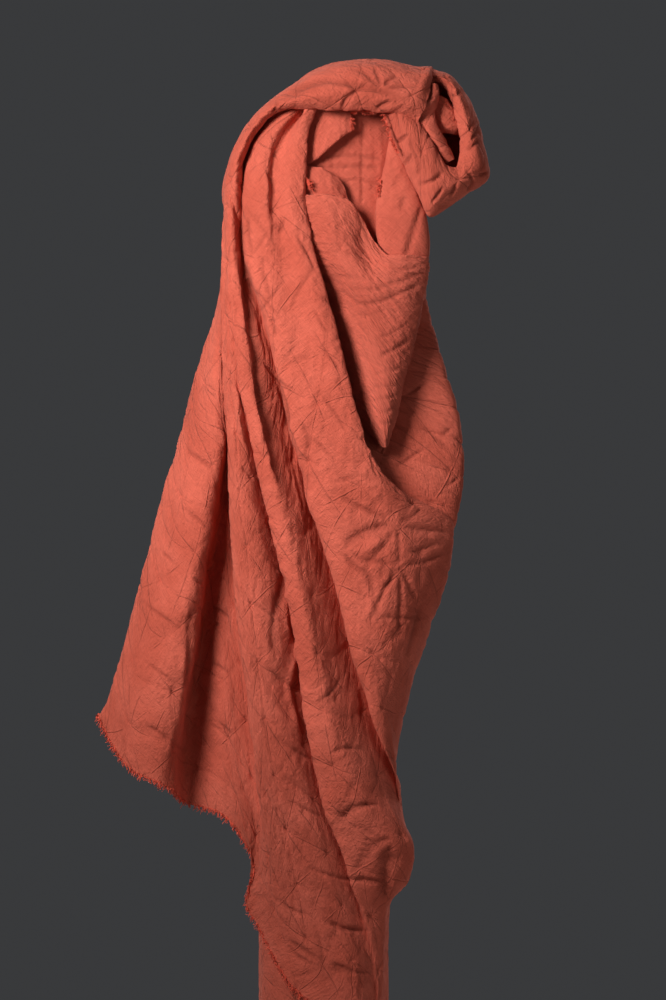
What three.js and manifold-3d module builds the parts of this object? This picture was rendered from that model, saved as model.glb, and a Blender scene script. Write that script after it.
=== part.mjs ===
import * as THREE from 'three';
import { mergeVertices } from 'three/addons/utils/BufferGeometryUtils.js';
import Module from 'manifold-3d';

// A roll of quilted jacquard cloth that stands on its end. Its loose end is pulled up over the top as a
// hood and hangs down the front in long slanting folds. Millimetres, +Z up, the front faces -Y, and the
// origin is the middle of the roll's flat foot. In the tables "across" is X, "forward" is -Y, "up" is Z.

const ROLL_RADIUS = 64;
const ROLL_HEIGHT = 1386;
const ROLL_SIDES = 64;
const ROLL_SWELL = 0.6;
const ROLL_WAVES = { slow: 5, quick: 8 };
const ROLL_LEVELS = [
  { share: 0, inset: 1.6 }, { share: 0.004, inset: 0 }, { share: 0.15, inset: 0 }, { share: 0.35, inset: 0 },
  { share: 0.55, inset: 0 }, { share: 0.75, inset: 0 }, { share: 0.9, inset: 0 }, { share: 0.996, inset: 0 },
  { share: 1, inset: 1.6 },
];
const TURN_EDGE_STEP = 1.6;
const TURN_EDGE_DEGREES = 200;

const CLOTH = 2.2;
const SEAT_GAP = 0.4;
const FACET_SAG = 1.1;
const WRAP_RADIUS = ROLL_RADIUS + ROLL_SWELL + SEAT_GAP + FACET_SAG + CLOTH / 2;

const CORAL = 0xd6624c;
const CORAL_ROLL = 0xcb5a46;

// The wrap: one row for each fold line, from the opening's rolled edge in front, round the left flare and
// the back, to the layer inside the right edge. "across" and "forward" are at the heights in WRAP_HEIGHTS,
// top first. A line that ends early has fewer of them. "top" and "hem" are where the line starts and ends,
// and "bend" is how far it swings to the right as it runs up under the hood's band. "steps" is for the
// stretch before a line where the cloth wraps far round the roll.
const WRAP_HEIGHTS = [1350, 1200, 1040, 985, 870, 735, 650, 590, 480];
const WRAP_FOLDS = [
  { name: 'openingEdge', bend: 12, top: 1384, hem: 375,
    across: [-14, 6, 51, 135, 109, 72, 46, 26, 4], forward: [84, 108, 118, 72, 62, 16, -58, -66, -68] },
  { name: 'edgeFace', bend: 14, top: 1384, hem: 385,
    across: [-24, -4, 35, 97, 92, 77, 64, 48, 33], forward: [92, 112, 122, 106, 96, 40, -36, -50, -60] },
  { name: 'shoulderValley', bend: 24, top: 1384, hem: 395,
    across: [-37, -26, -2, 22, 52, 78, 68, 60, 52], forward: [78, 103, 116, 120, 122, 66, -2, -28, -42] },
  { name: 'shoulderFold', bend: 26, top: 1384, hem: 405,
    across: [-58, -48, -20, 2, 36, 74, 72, 66, 60], forward: [84, 99, 108, 114, 118, 82, 26, -4, -28] },
  { name: 'deepValley', bend: 22, top: 1384, hem: 415,
    across: [-76, -69, -33, -13, 21, 68, 80, 68, 65], forward: [56, 80, 86, 88, 92, 84, 44, 12, -12] },
  { name: 'longFold', bend: 0, top: 1345, hem: 428,
    across: [-78, -75, -42, -28, 0, 44, 96, 65, 64], forward: [54, 88, 110, 114, 124, 114, 66, 36, 16] },
  { name: 'softValley', bend: 0, top: 1343, hem: 437,
    across: [-80, -79, -61, -52, -25, -3, 22, 42, 56], forward: [53, 84, 92, 94, 100, 96, 80, 62, 34] },
  { name: 'apron', bend: 0, top: 1341, hem: 500, steps: 3,
    across: [-82, -82, -73, -67, -52, -36, -18, -6, 6], forward: [52, 87, 104, 109, 119, 114, 92, 74, 67] },
  { name: 'sideFold', bend: 0, top: 1340, hem: 575, steps: 4,
    across: [-84, -86, -84, -81, -76, -66, -61, -62, -64],
    forward: [50, 85, 106, 111, 120, 108, 74, 36, 22] },
  { name: 'brink', bend: 0, top: 1339, hem: 655,
    across: [-86, -91, -92, -95, -99, -97, -76], forward: [44, 76, 88, 90, 94, 86, 62] },
  { name: 'flareValley', bend: 0, top: 1338, hem: 700,
    across: [-87, -96, -100, -107, -121, -134, -138], forward: [34, 68, 66, 62, 54, 50, 50] },
  { name: 'flareFace', bend: 0, top: 1337, hem: 738,
    across: [-87, -100, -114, -124, -142, -154], forward: [22, 62, 90, 97, 102, 100] },
  { name: 'flareEdge', bend: 0, top: 1336, hem: 775,
    across: [-87, -105, -149, -164, -195, -231], forward: [4, 36, 58, 64, 72, 80] },
  { name: 'flareBack', bend: 0, top: 1336, hem: 748,
    across: [-83, -98, -126, -138, -160, -182], forward: [-18, 0, 14, 18, 24, 30] },
  { name: 'backLeft', bend: 0, top: 1338, hem: 718,
    across: [-64, -80, -92, -96, -104, -112], forward: [-54, -46, -42, -42, -40, -38] },
  { name: 'backFoldLeft', bend: 0, top: 1340, hem: 722,
    across: [-34, -42, -48, -50, -55, -60], forward: [-84, -90, -94, -96, -99, -102] },
  { name: 'backValley', bend: 0, top: 1342, hem: 748,
    across: [0, 0, 2, 2, 2, 0], forward: [-78, -78, -79, -79, -80, -82] },
  { name: 'backFoldRight', bend: 0, top: 1346, hem: 790,
    across: [38, 42, 46, 48, 50, 50], forward: [-84, -90, -94, -95, -92, -86] },
  { name: 'backRight', bend: 0, top: 1356, hem: 846,
    across: [72, 82, 96, 100, 98, 84], forward: [-50, -48, -42, -38, -22, -10] },
  { name: 'rightWall', bend: 0, top: 1366, hem: 884,
    across: [84, 98, 130, 128, 111, 84], forward: [-14, 6, 24, 30, 34, 30] },
  { name: 'rightEdge', bend: 0, top: 1366, hem: 902,
    across: [87, 105, 141, 137, 111, 84], forward: [14, 46, 62, 62, 58, 50] },
  { name: 'innerFace', bend: 0, top: 1356, hem: 916,
    across: [75, 88, 100, 98, 80, 66], forward: [26, 60, 76, 80, 82, 72] },
  { name: 'innerEnd', bend: 0, top: 1352, hem: 926,
    across: [61, 62, 54, 48, 40, 34], forward: [34, 62, 80, 84, 88, 80] },
];

const BEND_START = 1325;

// The rolled edge of the opening turns in behind the first fold line.
const LIP_IN = 4;
const LIP_BACK = 15;
const LIP_DROP = 5;

// The hood's band: one row for each section, turned about a point beside the roll's top. "turn" is in
// degrees from the right, "rake" is what the crown turns further, and the two radii are the band's front
// edge and its crown.
const BAND_PIVOT = { across: 15, up: 1335 };
const BAND_SECTIONS = [
  { turn: 216, rake: 0, edge: 112, crown: 128, edgeForward: 62, browForward: 68 },
  { turn: 198, rake: 0, edge: 98, crown: 118, edgeForward: 66, browForward: 80 },
  { turn: 180, rake: 0, edge: 92, crown: 107, edgeForward: 66, browForward: 82 },
  { turn: 160, rake: 0, edge: 84, crown: 98, edgeForward: 72, browForward: 84 },
  { turn: 140, rake: 0, edge: 76, crown: 93, edgeForward: 86, browForward: 96 },
  { turn: 120, rake: 0, edge: 58, crown: 90, edgeForward: 96, browForward: 107 },
  { turn: 100, rake: 0, edge: 49, crown: 95, edgeForward: 100, browForward: 112 },
  { turn: 80, rake: 0, edge: 49, crown: 103, edgeForward: 101, browForward: 114 },
  { turn: 60, rake: 2, edge: 56, crown: 114, edgeForward: 102, browForward: 115 },
  { turn: 44, rake: 6, edge: 68, crown: 125, edgeForward: 104, browForward: 116 },
  { turn: 31, rake: 12, edge: 86, crown: 134, edgeForward: 104, browForward: 112 },
];
const BAND_TUCK = { up: 10, back: 16 };
const BAND_SWELL = { depth: 0.35, forward: 1 };
const BAND_BROW = { depth: 0.8, forward: 0.86 };
const BAND_CROWN = { depth: 1, forward: 0.42 };
const BAND_REAR = -14;
const BAND_NAPE = { drop: 14, forward: -66 };
const BAND_BACK_FORWARD = -91;

// The band's first section lies this far inside the wrap, so that the shoulder runs out of it.
const BAND_SUNK = 12;

// The band's plain hem at the back, from its first section to its last.
const BACK_HEM = { firstAcross: -66, lastAcross: 88, up: 1306, forward: -91, cornerFrom: 36, cornerIn: 34 };

// The curl at the hood's right: one row for each section of the strip that runs from the band's end round
// the pocket and back under the band. "rear" is how far its outer edge turns back.
const CURL_SECTIONS = [
  { innerAcross: 104, innerUp: 1412, outerAcross: 108, outerUp: 1427, forward: 70, rear: 90 },
  { innerAcross: 121, innerUp: 1409, outerAcross: 131, outerUp: 1418, forward: 76, rear: 100 },
  { innerAcross: 137, innerUp: 1392, outerAcross: 148, outerUp: 1394, forward: 80, rear: 104 },
  { innerAcross: 142, innerUp: 1368, outerAcross: 160, outerUp: 1364, forward: 84, rear: 100 },
  { innerAcross: 143, innerUp: 1344, outerAcross: 167, outerUp: 1326, forward: 90, rear: 84 },
  { innerAcross: 136, innerUp: 1332, outerAcross: 148, outerUp: 1306, forward: 98, rear: 60 },
  { innerAcross: 127, innerUp: 1333, outerAcross: 127, outerUp: 1294, forward: 102, rear: 44 },
  { innerAcross: 117, innerUp: 1341, outerAcross: 107, outerUp: 1286, forward: 104, rear: 30 },
  { innerAcross: 110, innerUp: 1350, outerAcross: 92, outerUp: 1309, forward: 104, rear: 16 },
  { innerAcross: 98, innerUp: 1370, outerAcross: 76, outerUp: 1343, forward: 102, rear: 12 },
  { innerAcross: 72, innerUp: 1386, outerAcross: 60, outerUp: 1378, forward: 94, rear: 10 },
];
const CURL_SWELL = 8;
const CURL_LIP = { out: 5, back: 18 };
const CURL_EDGE_BACK = 14;
const CURL_SHOULDER = { in: 3, rear: 0.5 };
const CURL_REAR_IN = 16;
const CURL_DEEP = { in: 6, spread: 0.6, rear: 1.45 };

// The pocket inside the curl: one row for each ring, from its mouth to its bottom.
const POCKET_CENTRE = { across: 124, up: 1372 };
const POCKET_MOUTH = [
  { across: 119, up: 1424 }, { across: 138, up: 1398 }, { across: 148, up: 1366 }, { across: 144, up: 1334 },
  { across: 128, up: 1326 }, { across: 108, up: 1346 }, { across: 92, up: 1370 }, { across: 96, up: 1396 },
];
const POCKET_RINGS = [
  { reach: 1.04, forward: 74 },
  { reach: 0.9, forward: 62 },
  { reach: 0.6, forward: 40 },
  { reach: 0.06, forward: 28 },
];

// The swag inside the opening: one row for each level, from its neckline to its pointed lower end.
const SWAG_LEVELS = [
  { leftAcross: -18, leftUp: 1328, rightAcross: 73, rightUp: 1350, sag: 92, forward: 76 },
  { leftAcross: -16, leftUp: 1322, rightAcross: 76, rightUp: 1346, sag: 96, forward: 86 },
  { leftAcross: -12, leftUp: 1292, rightAcross: 92, rightUp: 1316, sag: 74, forward: 95 },
  { leftAcross: -3, leftUp: 1258, rightAcross: 105, rightUp: 1281, sag: 54, forward: 99 },
  { leftAcross: 8, leftUp: 1222, rightAcross: 107, rightUp: 1243, sag: 36, forward: 102 },
  { leftAcross: 22, leftUp: 1176, rightAcross: 99, rightUp: 1192, sag: 24, forward: 104 },
  { leftAcross: 36, leftUp: 1126, rightAcross: 87, rightUp: 1138, sag: 14, forward: 105 },
  { leftAcross: 50, leftUp: 1076, rightAcross: 75, rightUp: 1087, sag: 6, forward: 102 },
  { leftAcross: 57, leftUp: 1040, rightAcross: 67, rightUp: 1052, sag: 2, forward: 98 },
];
const SWAG_COLUMNS = [
  { reach: -0.12, sag: 0, back: 34 },
  { reach: 0, sag: 0, back: 14 },
  { reach: 0.33, sag: 0.22, back: 2 },
  { reach: 0.62, sag: 0.64, back: 0 },
  { reach: 0.84, sag: 1, back: 3 },
  { reach: 0.9, sag: 0.49, back: 6 },
  { reach: 1, sag: 0, back: 22 },
  { reach: 0.96, sag: 0, back: 40 },
];

// The short turned-back flap at the opening's upper left: one row for each of its upright lines.
const FLAP_LINES = [
  { across: -18, top: 1392, bottom: 1334, forward: 74 },
  { across: -8, top: 1392, bottom: 1334, forward: 80 },
  { across: 8, top: 1393, bottom: 1347, forward: 84 },
  { across: 22, top: 1394, bottom: 1359, forward: 85 },
  { across: 31, top: 1395, bottom: 1365, forward: 82 },
];
const FLAP_TURN_IN = { back: 10, up: 4 };

const wasm = await Module();
wasm.setup();

const radians = (degrees) => (degrees * Math.PI) / 180;
const place = (across, forward, up) => new THREE.Vector3(across, -forward, up);

/** Point on the smooth curve through four neighbours, spaced by the square root of their distances. */
function curvePoint(before, start, end, after, share) {
  const t0 = 0;
  const t1 = t0 + Math.max(Math.sqrt(before.distanceTo(start)), 0.01);
  const t2 = t1 + Math.max(Math.sqrt(start.distanceTo(end)), 0.01);
  const t3 = t2 + Math.max(Math.sqrt(end.distanceTo(after)), 0.01);
  const t = t1 + (t2 - t1) * share;
  const blend = (a, b, ta, tb) => a.clone().lerp(b, (t - ta) / (tb - ta));
  const a1 = blend(before, start, t0, t1);
  const a2 = blend(start, end, t1, t2);
  const a3 = blend(end, after, t2, t3);
  return blend(blend(a1, a2, t0, t2), blend(a2, a3, t1, t3), t1, t2);
}

/** A smooth line through the points, with a number of steps for each stretch, or one number for all. */
function smoothLine(points, steps, closed = false) {
  const count = points.length;
  const last = closed ? count : count - 1;
  const at = (index) => {
    if (closed) return points[(index + count) % count];
    if (index < 0) return points[0].clone().multiplyScalar(2).sub(points[1]);
    if (index >= count) return points[count - 1].clone().multiplyScalar(2).sub(points[count - 2]);
    return points[index];
  };
  const line = [];
  for (let segment = 0; segment < last; segment += 1) {
    const parts = Array.isArray(steps) ? steps[segment] : steps;
    for (let step = 0; step < parts; step += 1) {
      line.push(curvePoint(at(segment - 1), at(segment), at(segment + 1), at(segment + 2), step / parts));
    }
  }
  if (!closed) line.push(points[count - 1].clone());
  return line;
}

/** Value at a height on a line that never overshoots its own table. */
function steadyValue(heights, values, height) {
  const last = values.length - 1;
  if (height >= heights[0]) return values[0];
  if (height <= heights[last]) return values[last];
  let row = 0;
  while (height < heights[row + 1]) row += 1;
  const slope = (k) => (values[k + 1] - values[k]) / (heights[k + 1] - heights[k]);
  const tangent = (k) => {
    if (k === 0) return slope(0);
    if (k === last) return slope(last - 1);
    const left = slope(k - 1);
    const right = slope(k);
    return left * right <= 0 ? 0 : (2 * left * right) / (left + right);
  };
  const span = heights[row + 1] - heights[row];
  const s = (height - heights[row]) / span;
  return (2 * s ** 3 - 3 * s ** 2 + 1) * values[row] + (s ** 3 - 2 * s ** 2 + s) * span * tangent(row)
    + (3 * s ** 2 - 2 * s ** 3) * values[row + 1] + (s ** 3 - s ** 2) * span * tangent(row + 1);
}

/** Moves a point of the cloth out to the roll's face where it would lie inside the roll. */
function restOnRoll(point) {
  const reach = Math.hypot(point.x, point.y);
  if (reach >= WRAP_RADIUS || point.z > ROLL_HEIGHT) return point;
  const scale = WRAP_RADIUS / reach;
  return new THREE.Vector3(point.x * scale, point.y * scale, point.z);
}

/** Vertex normals of a grid of points. */
function gridNormals(grid) {
  const rows = grid.length;
  const columns = grid[0].length;
  return grid.map((row, r) => row.map((_, c) => {
    const along = grid[Math.min(r + 1, rows - 1)][c].clone().sub(grid[Math.max(r - 1, 0)][c]);
    const across = grid[r][Math.min(c + 1, columns - 1)].clone().sub(grid[r][Math.max(c - 1, 0)]);
    return across.cross(along).normalize();
  }));
}

/** A closed sheet of the cloth's thickness about a grid of points. */
function sheetSolid(grid) {
  const rows = grid.length;
  const columns = grid[0].length;
  const normals = gridNormals(grid);
  const positions = [];
  for (const side of [1, -1]) {
    grid.forEach((row, r) => row.forEach((point, c) => {
      const moved = point.clone().addScaledVector(normals[r][c], (side * CLOTH) / 2);
      positions.push(moved.x, moved.y, moved.z);
    }));
  }
  const layer = rows * columns;
  const at = (r, c, side) => side * layer + r * columns + c;
  const faces = [];
  const quad = (a, b, c, d) => faces.push(a, b, c, a, c, d);
  for (let r = 0; r < rows - 1; r += 1) {
    for (let c = 0; c < columns - 1; c += 1) {
      quad(at(r, c, 0), at(r + 1, c, 0), at(r + 1, c + 1, 0), at(r, c + 1, 0));
      quad(at(r, c, 1), at(r, c + 1, 1), at(r + 1, c + 1, 1), at(r + 1, c, 1));
    }
  }
  for (let r = 0; r < rows - 1; r += 1) {
    quad(at(r, 0, 0), at(r, 0, 1), at(r + 1, 0, 1), at(r + 1, 0, 0));
    quad(at(r, columns - 1, 0), at(r + 1, columns - 1, 0), at(r + 1, columns - 1, 1), at(r, columns - 1, 1));
  }
  for (let c = 0; c < columns - 1; c += 1) {
    quad(at(0, c, 0), at(0, c + 1, 0), at(0, c + 1, 1), at(0, c, 1));
    quad(at(rows - 1, c, 0), at(rows - 1, c, 1), at(rows - 1, c + 1, 1), at(rows - 1, c + 1, 0));
  }
  return solidFrom(positions, faces);
}

/** A manifold solid from plain arrays, turned so that its faces point out. */
function solidFrom(positions, faces) {
  let volume = 0;
  for (let f = 0; f < faces.length; f += 3) {
    const [a, b, c] = [0, 1, 2].map((k) => new THREE.Vector3().fromArray(positions, faces[f + k] * 3));
    volume += a.dot(b.cross(c));
  }
  const turned = [];
  for (let f = 0; f < faces.length; f += 3) {
    if (volume > 0) turned.push(faces[f], faces[f + 1], faces[f + 2]);
    else turned.push(faces[f], faces[f + 2], faces[f + 1]);
  }
  return new wasm.Manifold(new wasm.Mesh({
    numProp: 3,
    vertProperties: new Float32Array(positions),
    triVerts: new Uint32Array(turned),
  }));
}

/** The faces of a mesh without the thin shut gaps between layers that lie on each other. */
function outerFaces(positions, faces) {
  const owner = Array.from({ length: positions.length / 3 }, (_, vertex) => vertex);
  const rootOf = (vertex) => {
    let root = vertex;
    while (owner[root] !== root) root = owner[root];
    owner[vertex] = root;
    return root;
  };
  const volumes = new Map();
  for (let f = 0; f < faces.length; f += 3) {
    owner[rootOf(faces[f])] = rootOf(faces[f + 1]);
    owner[rootOf(faces[f + 1])] = rootOf(faces[f + 2]);
  }
  for (let f = 0; f < faces.length; f += 3) {
    const [a, b, c] = [0, 1, 2].map((k) => new THREE.Vector3().fromArray(positions, faces[f + k] * 3));
    const root = rootOf(faces[f]);
    volumes.set(root, (volumes.get(root) ?? 0) + a.dot(b.cross(c)));
  }
  return faces.filter((_, index) => volumes.get(rootOf(faces[index - (index % 3)])) > 0);
}

/** The three.js geometry of a manifold solid. */
function geometryFrom(solid) {
  const mesh = solid.getMesh();
  const merged = new THREE.BufferGeometry();
  merged.setAttribute('position', new THREE.BufferAttribute(new Float32Array(mesh.vertProperties), 3));
  merged.setIndex(new THREE.BufferAttribute(new Uint32Array(mesh.triVerts), 1));
  const geometry = mergeVertices(merged, 1e-4);
  geometry.setIndex(outerFaces(geometry.attributes.position.array, [...geometry.index.array]));
  return geometry;
}

/** A grid whose rows are smooth lines through each row of control points. */
function smoothGrid(control, rowSteps, columnSteps, closed = false) {
  const across = control.map((row) => smoothLine(row, columnSteps, closed));
  const columns = across[0].map((_, c) => smoothLine(across.map((row) => row[c]), rowSteps));
  return columns[0].map((_, r) => columns.map((column) => column[r]));
}

/** The wrap from the opening's edge round the flare and the back to the right edge. */
function wrapGrid(rows) {
  const first = WRAP_FOLDS[0];
  const steps = [2, ...WRAP_FOLDS.slice(1).map((fold) => fold.steps ?? 2)];
  const grid = [];
  for (let row = 0; row <= rows; row += 1) {
    const share = row / rows;
    const line = WRAP_FOLDS.map((fold) => {
      const up = fold.top + (fold.hem - fold.top) * share;
      const swing = fold.bend * Math.max((up - BEND_START) / (fold.top - BEND_START), 0) ** 2;
      const across = steadyValue(WRAP_HEIGHTS, fold.across, up) + swing;
      const forward = steadyValue(WRAP_HEIGHTS, fold.forward, up);
      return place(across, forward, up);
    });
    const edge = line[0];
    const up = first.top + (first.hem - first.top) * share;
    const lip = new THREE.Vector3(edge.x - LIP_IN, edge.y + LIP_BACK, up - LIP_DROP);
    grid.push(smoothLine([lip, ...line], steps).map(restOnRoll));
  }
  return grid;
}

/** Point on the band's hem at the back, rounded in towards the right corner. */
function backHemPoint(share, sunk) {
  const across = THREE.MathUtils.lerp(BACK_HEM.firstAcross, BACK_HEM.lastAcross, share);
  const past = Math.max(across - BACK_HEM.cornerFrom, 0) / (BACK_HEM.lastAcross - BACK_HEM.cornerFrom);
  return place(across, BACK_HEM.forward + BACK_HEM.cornerIn * past ** 2 + sunk, BACK_HEM.up);
}

/** The hood's band, over the roll's top from the left shoulder to the curl. */
function bandGrid(rowSteps, columnSteps) {
  const control = BAND_SECTIONS.map((section, index) => {
    const depth = section.crown - section.edge;
    const sunk = index === 0 ? BAND_SUNK : 0;
    const at = (radius, forward, raked) => {
      const turn = radians(section.turn + raked * section.rake);
      const across = BAND_PIVOT.across + radius * Math.cos(turn);
      return place(across, forward, BAND_PIVOT.up + radius * Math.sin(turn));
    };
    const onFace = (part, drop) => at(
      section.edge + depth * part.depth - drop,
      section.browForward * part.forward,
      part.depth,
    );
    const nape = at(section.crown - BAND_NAPE.drop - sunk, BAND_NAPE.forward + sunk, 1);
    const low = backHemPoint(index / (BAND_SECTIONS.length - 1), sunk);
    const back = nape.clone().lerp(low, 0.5);
    back.y = Math.max(-BAND_BACK_FORWARD - sunk, low.y);
    return [
      at(section.edge + BAND_TUCK.up, section.edgeForward - BAND_TUCK.back, 0),
      at(section.edge, section.edgeForward, 0),
      onFace(BAND_SWELL, 0),
      onFace(BAND_BROW, 0),
      onFace(BAND_CROWN, sunk / 2),
      at(section.crown - sunk, BAND_REAR, 1),
      nape,
      back,
      low,
    ];
  });
  return smoothGrid(control, rowSteps, columnSteps);
}

/** The curl that turns from the band's end round the pocket and back under the band. */
function curlGrid(rowSteps, columnSteps) {
  const control = CURL_SECTIONS.map((section) => {
    const inner = place(section.innerAcross, section.forward, section.innerUp);
    const outer = place(section.outerAcross, section.forward - CURL_EDGE_BACK, section.outerUp);
    const outward = outer.clone().sub(inner).setY(0).normalize();
    const behind = (point, inward, back) => {
      const moved = point.clone().addScaledVector(outward, -inward);
      moved.y += back;
      return moved;
    };
    const swell = inner.clone().lerp(outer, 0.5);
    swell.y = -(section.forward + CURL_SWELL);
    return [
      behind(inner, -CURL_LIP.out, CURL_LIP.back),
      inner,
      swell,
      outer,
      behind(outer, CURL_SHOULDER.in, section.rear * CURL_SHOULDER.rear),
      behind(outer, CURL_REAR_IN, section.rear),
      behind(outer, CURL_DEEP.in + CURL_DEEP.spread * section.rear, CURL_DEEP.rear * section.rear),
    ];
  });
  return smoothGrid(control, rowSteps, columnSteps);
}

/** The hollow inside the curl. */
function pocketGrid(rowSteps, columnSteps) {
  const control = POCKET_RINGS.map((ring) => POCKET_MOUTH.map((mouth) => place(
    POCKET_CENTRE.across + (mouth.across - POCKET_CENTRE.across) * ring.reach,
    ring.forward,
    POCKET_CENTRE.up + (mouth.up - POCKET_CENTRE.up) * ring.reach,
  )));
  return smoothGrid(control, rowSteps, columnSteps, true).map((row) => [...row, row[0].clone()]);
}

/** The swag that hangs inside the opening, with its pointed lower end. */
function swagGrid(rowSteps, columnSteps) {
  const control = SWAG_LEVELS.map((level) => SWAG_COLUMNS.map((column) => {
    const across = THREE.MathUtils.lerp(level.leftAcross, level.rightAcross, column.reach);
    const up = THREE.MathUtils.lerp(level.leftUp, level.rightUp, column.reach);
    return place(across, level.forward - column.back, up - level.sag * column.sag);
  }));
  return smoothGrid(control, rowSteps, columnSteps).map((row) => row.map(restOnRoll));
}

/** The short flap at the opening's upper left. */
function flapGrid(rowSteps, columnSteps) {
  const hang = [0, 0.5, 1].map((share) => FLAP_LINES.map((line) => {
    const up = THREE.MathUtils.lerp(line.top, line.bottom, share);
    return place(line.across, line.forward, up);
  }));
  const turnedIn = FLAP_LINES.map((line) => {
    const forward = line.forward - FLAP_TURN_IN.back;
    return place(line.across, forward, line.bottom + FLAP_TURN_IN.up);
  });
  return smoothGrid([...hang, turnedIn], rowSteps, columnSteps);
}

/** The standing roll: a slightly uneven round form with the step of its outer turn's edge. */
function rollGeometry() {
  const positions = [];
  const faces = [];
  ROLL_LEVELS.forEach(({ share, inset }) => {
    for (let side = 0; side < ROLL_SIDES; side += 1) {
      const turn = (side / ROLL_SIDES) * 2 * Math.PI;
      const past = (side / ROLL_SIDES - TURN_EDGE_DEGREES / 360 + 1) % 1;
      const slow = Math.sin(2 * turn + share * ROLL_WAVES.slow);
      const quick = Math.sin(3 * turn - share * ROLL_WAVES.quick);
      const radius = ROLL_RADIUS - TURN_EDGE_STEP * past + (ROLL_SWELL * (slow + quick)) / 2 - inset;
      positions.push(radius * Math.cos(turn), radius * Math.sin(turn), share * ROLL_HEIGHT);
    }
  });
  const at = (level, side) => level * ROLL_SIDES + (side % ROLL_SIDES);
  for (let level = 0; level < ROLL_LEVELS.length - 1; level += 1) {
    for (let side = 0; side < ROLL_SIDES; side += 1) {
      faces.push(at(level, side), at(level, side + 1), at(level + 1, side + 1));
      faces.push(at(level, side), at(level + 1, side + 1), at(level + 1, side));
    }
  }
  const foot = positions.length / 3;
  positions.push(0, 0, 0);
  const head = foot + 1;
  positions.push(0, 0, ROLL_HEIGHT);
  for (let side = 0; side < ROLL_SIDES; side += 1) {
    faces.push(foot, at(0, side + 1), at(0, side));
    faces.push(head, at(ROLL_LEVELS.length - 1, side), at(ROLL_LEVELS.length - 1, side + 1));
  }
  return geometryFrom(solidFrom(positions, faces));
}

/** The loose end of the cloth, one solid. */
function drapeGeometry() {
  const wrap = sheetSolid(wrapGrid(27));
  const band = sheetSolid(bandGrid(2, 2));
  const curl = sheetSolid(curlGrid(2, 2));
  const pocket = sheetSolid(pocketGrid(2, 2));
  const swag = sheetSolid(swagGrid(2, 2));
  const flap = sheetSolid(flapGrid(2, 1));
  return geometryFrom(wrap.add(band).add(curl).add(pocket).add(swag).add(flap));
}

const clothFinish = (color) => new THREE.MeshStandardMaterial({ color, roughness: 0.92, metalness: 0 });

const roll = new THREE.Mesh(rollGeometry(), clothFinish(CORAL_ROLL));
roll.name = 'cloth_roll';

const drape = new THREE.Mesh(drapeGeometry(), clothFinish(CORAL));
drape.name = 'draped_end';

const group = new THREE.Group();
group.add(roll, drape);

export default group;
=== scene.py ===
"""A standing roll of quilted jacquard cloth whose loose end is drawn over its top as a hood.

The loose end hangs down the front and the left in long slanting folds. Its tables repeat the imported
part's own and are in millimetres: across is +X, forward is -Y and up is +Z. Meshes are made in metres.
"""

import logging
import math
from copy import copy
from dataclasses import dataclass, field
from enum import Enum
from typing import ClassVar

import bpy
import numpy as np
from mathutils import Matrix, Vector


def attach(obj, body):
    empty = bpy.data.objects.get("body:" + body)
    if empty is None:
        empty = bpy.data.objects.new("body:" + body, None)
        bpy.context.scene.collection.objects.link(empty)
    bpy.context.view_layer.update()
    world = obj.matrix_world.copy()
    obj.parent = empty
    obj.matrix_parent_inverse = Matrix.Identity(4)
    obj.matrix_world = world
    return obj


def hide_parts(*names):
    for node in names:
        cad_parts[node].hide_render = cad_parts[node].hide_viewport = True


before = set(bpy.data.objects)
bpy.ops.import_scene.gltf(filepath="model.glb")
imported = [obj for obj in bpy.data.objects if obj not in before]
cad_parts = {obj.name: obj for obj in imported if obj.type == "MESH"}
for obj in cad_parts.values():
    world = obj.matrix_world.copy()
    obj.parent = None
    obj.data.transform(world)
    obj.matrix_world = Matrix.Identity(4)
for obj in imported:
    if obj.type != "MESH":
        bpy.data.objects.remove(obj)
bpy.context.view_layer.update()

MM: float = 0.001
BODY: str = "root"
CLOTH_UV: str = "cloth"
# Painted shade in the troughs: each mesh keeps how deep its troughs sink under this attribute name, and the
# shade is full at this many millimetres.
PAINTED_CREASE_SHADE_NAME: str = "painted_crease_shade"
PAINTED_CREASE_SHADE_FULL: float = 1.8
TINY: float = 1e-9
SHORTEST_STEP: float = 0.01
LOG: logging.Logger = logging.getLogger("jacquard")

Array = np.ndarray
Spot = tuple[float, float]
Place = tuple[float, float, float]
Colour = tuple[float, float, float]
Socket = bpy.types.NodeSocket


class Layer(Enum):
    """The stretches of cloth that a crease can be pushed into."""

    WRAP = "wrap"
    BAND = "band"
    CURL = "curl"
    SWAG = "swag"
    FLAP = "flap"
    WING = "wing"
    BACKING = "backing"
    ROLL = "roll"


class Noise:
    """Smooth seeded noise on a repeating lattice."""

    SIDE: ClassVar[int] = 256
    DRIFT: ClassVar[Spot] = (17.3, 5.1)

    def __init__(self, seed: int) -> None:
        """Draws the lattice values.

        Args:
            seed: what the draw starts from, so that each run gives the same cloth.
        """
        self.values = np.random.default_rng(seed).uniform(-1.0, 1.0, (self.SIDE, self.SIDE))

    def at(self, x: Array, y: Array) -> Array:
        """Reads the noise.

        Args:
            x: coordinates across, in lattice steps.
            y: coordinates along.

        Returns:
            Values from -1 to 1.
        """
        column, row = np.floor(x).astype(int), np.floor(y).astype(int)
        ease_x, ease_y = (
            part * part * part * (part * (part * 6 - 15) + 10) for part in (x - column, y - row)
        )

        def along(line: Array) -> Array:
            """Returns the eased values along a row of the lattice."""
            left = self.values[line % self.SIDE, column % self.SIDE]
            right = self.values[line % self.SIDE, (column + 1) % self.SIDE]
            return left * (1 - ease_x) + right * ease_x

        return along(row) * (1 - ease_y) + along(row + 1) * ease_y

    def layered(self, x: Array, y: Array, octaves: int = 3) -> Array:
        """Adds up noise of several scales.

        Args:
            x: coordinates across, in lattice steps of the widest noise.
            y: coordinates along.
            octaves: how many scales there are, each half as wide and half as strong as the one before.

        Returns:
            The sum at each point.
        """
        total = np.zeros_like(x)
        for octave in range(octaves):
            scale = 2.0**octave
            total += self.at(x * scale + self.DRIFT[0] * octave, y * scale + self.DRIFT[1] * octave) / scale
        return total


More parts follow.
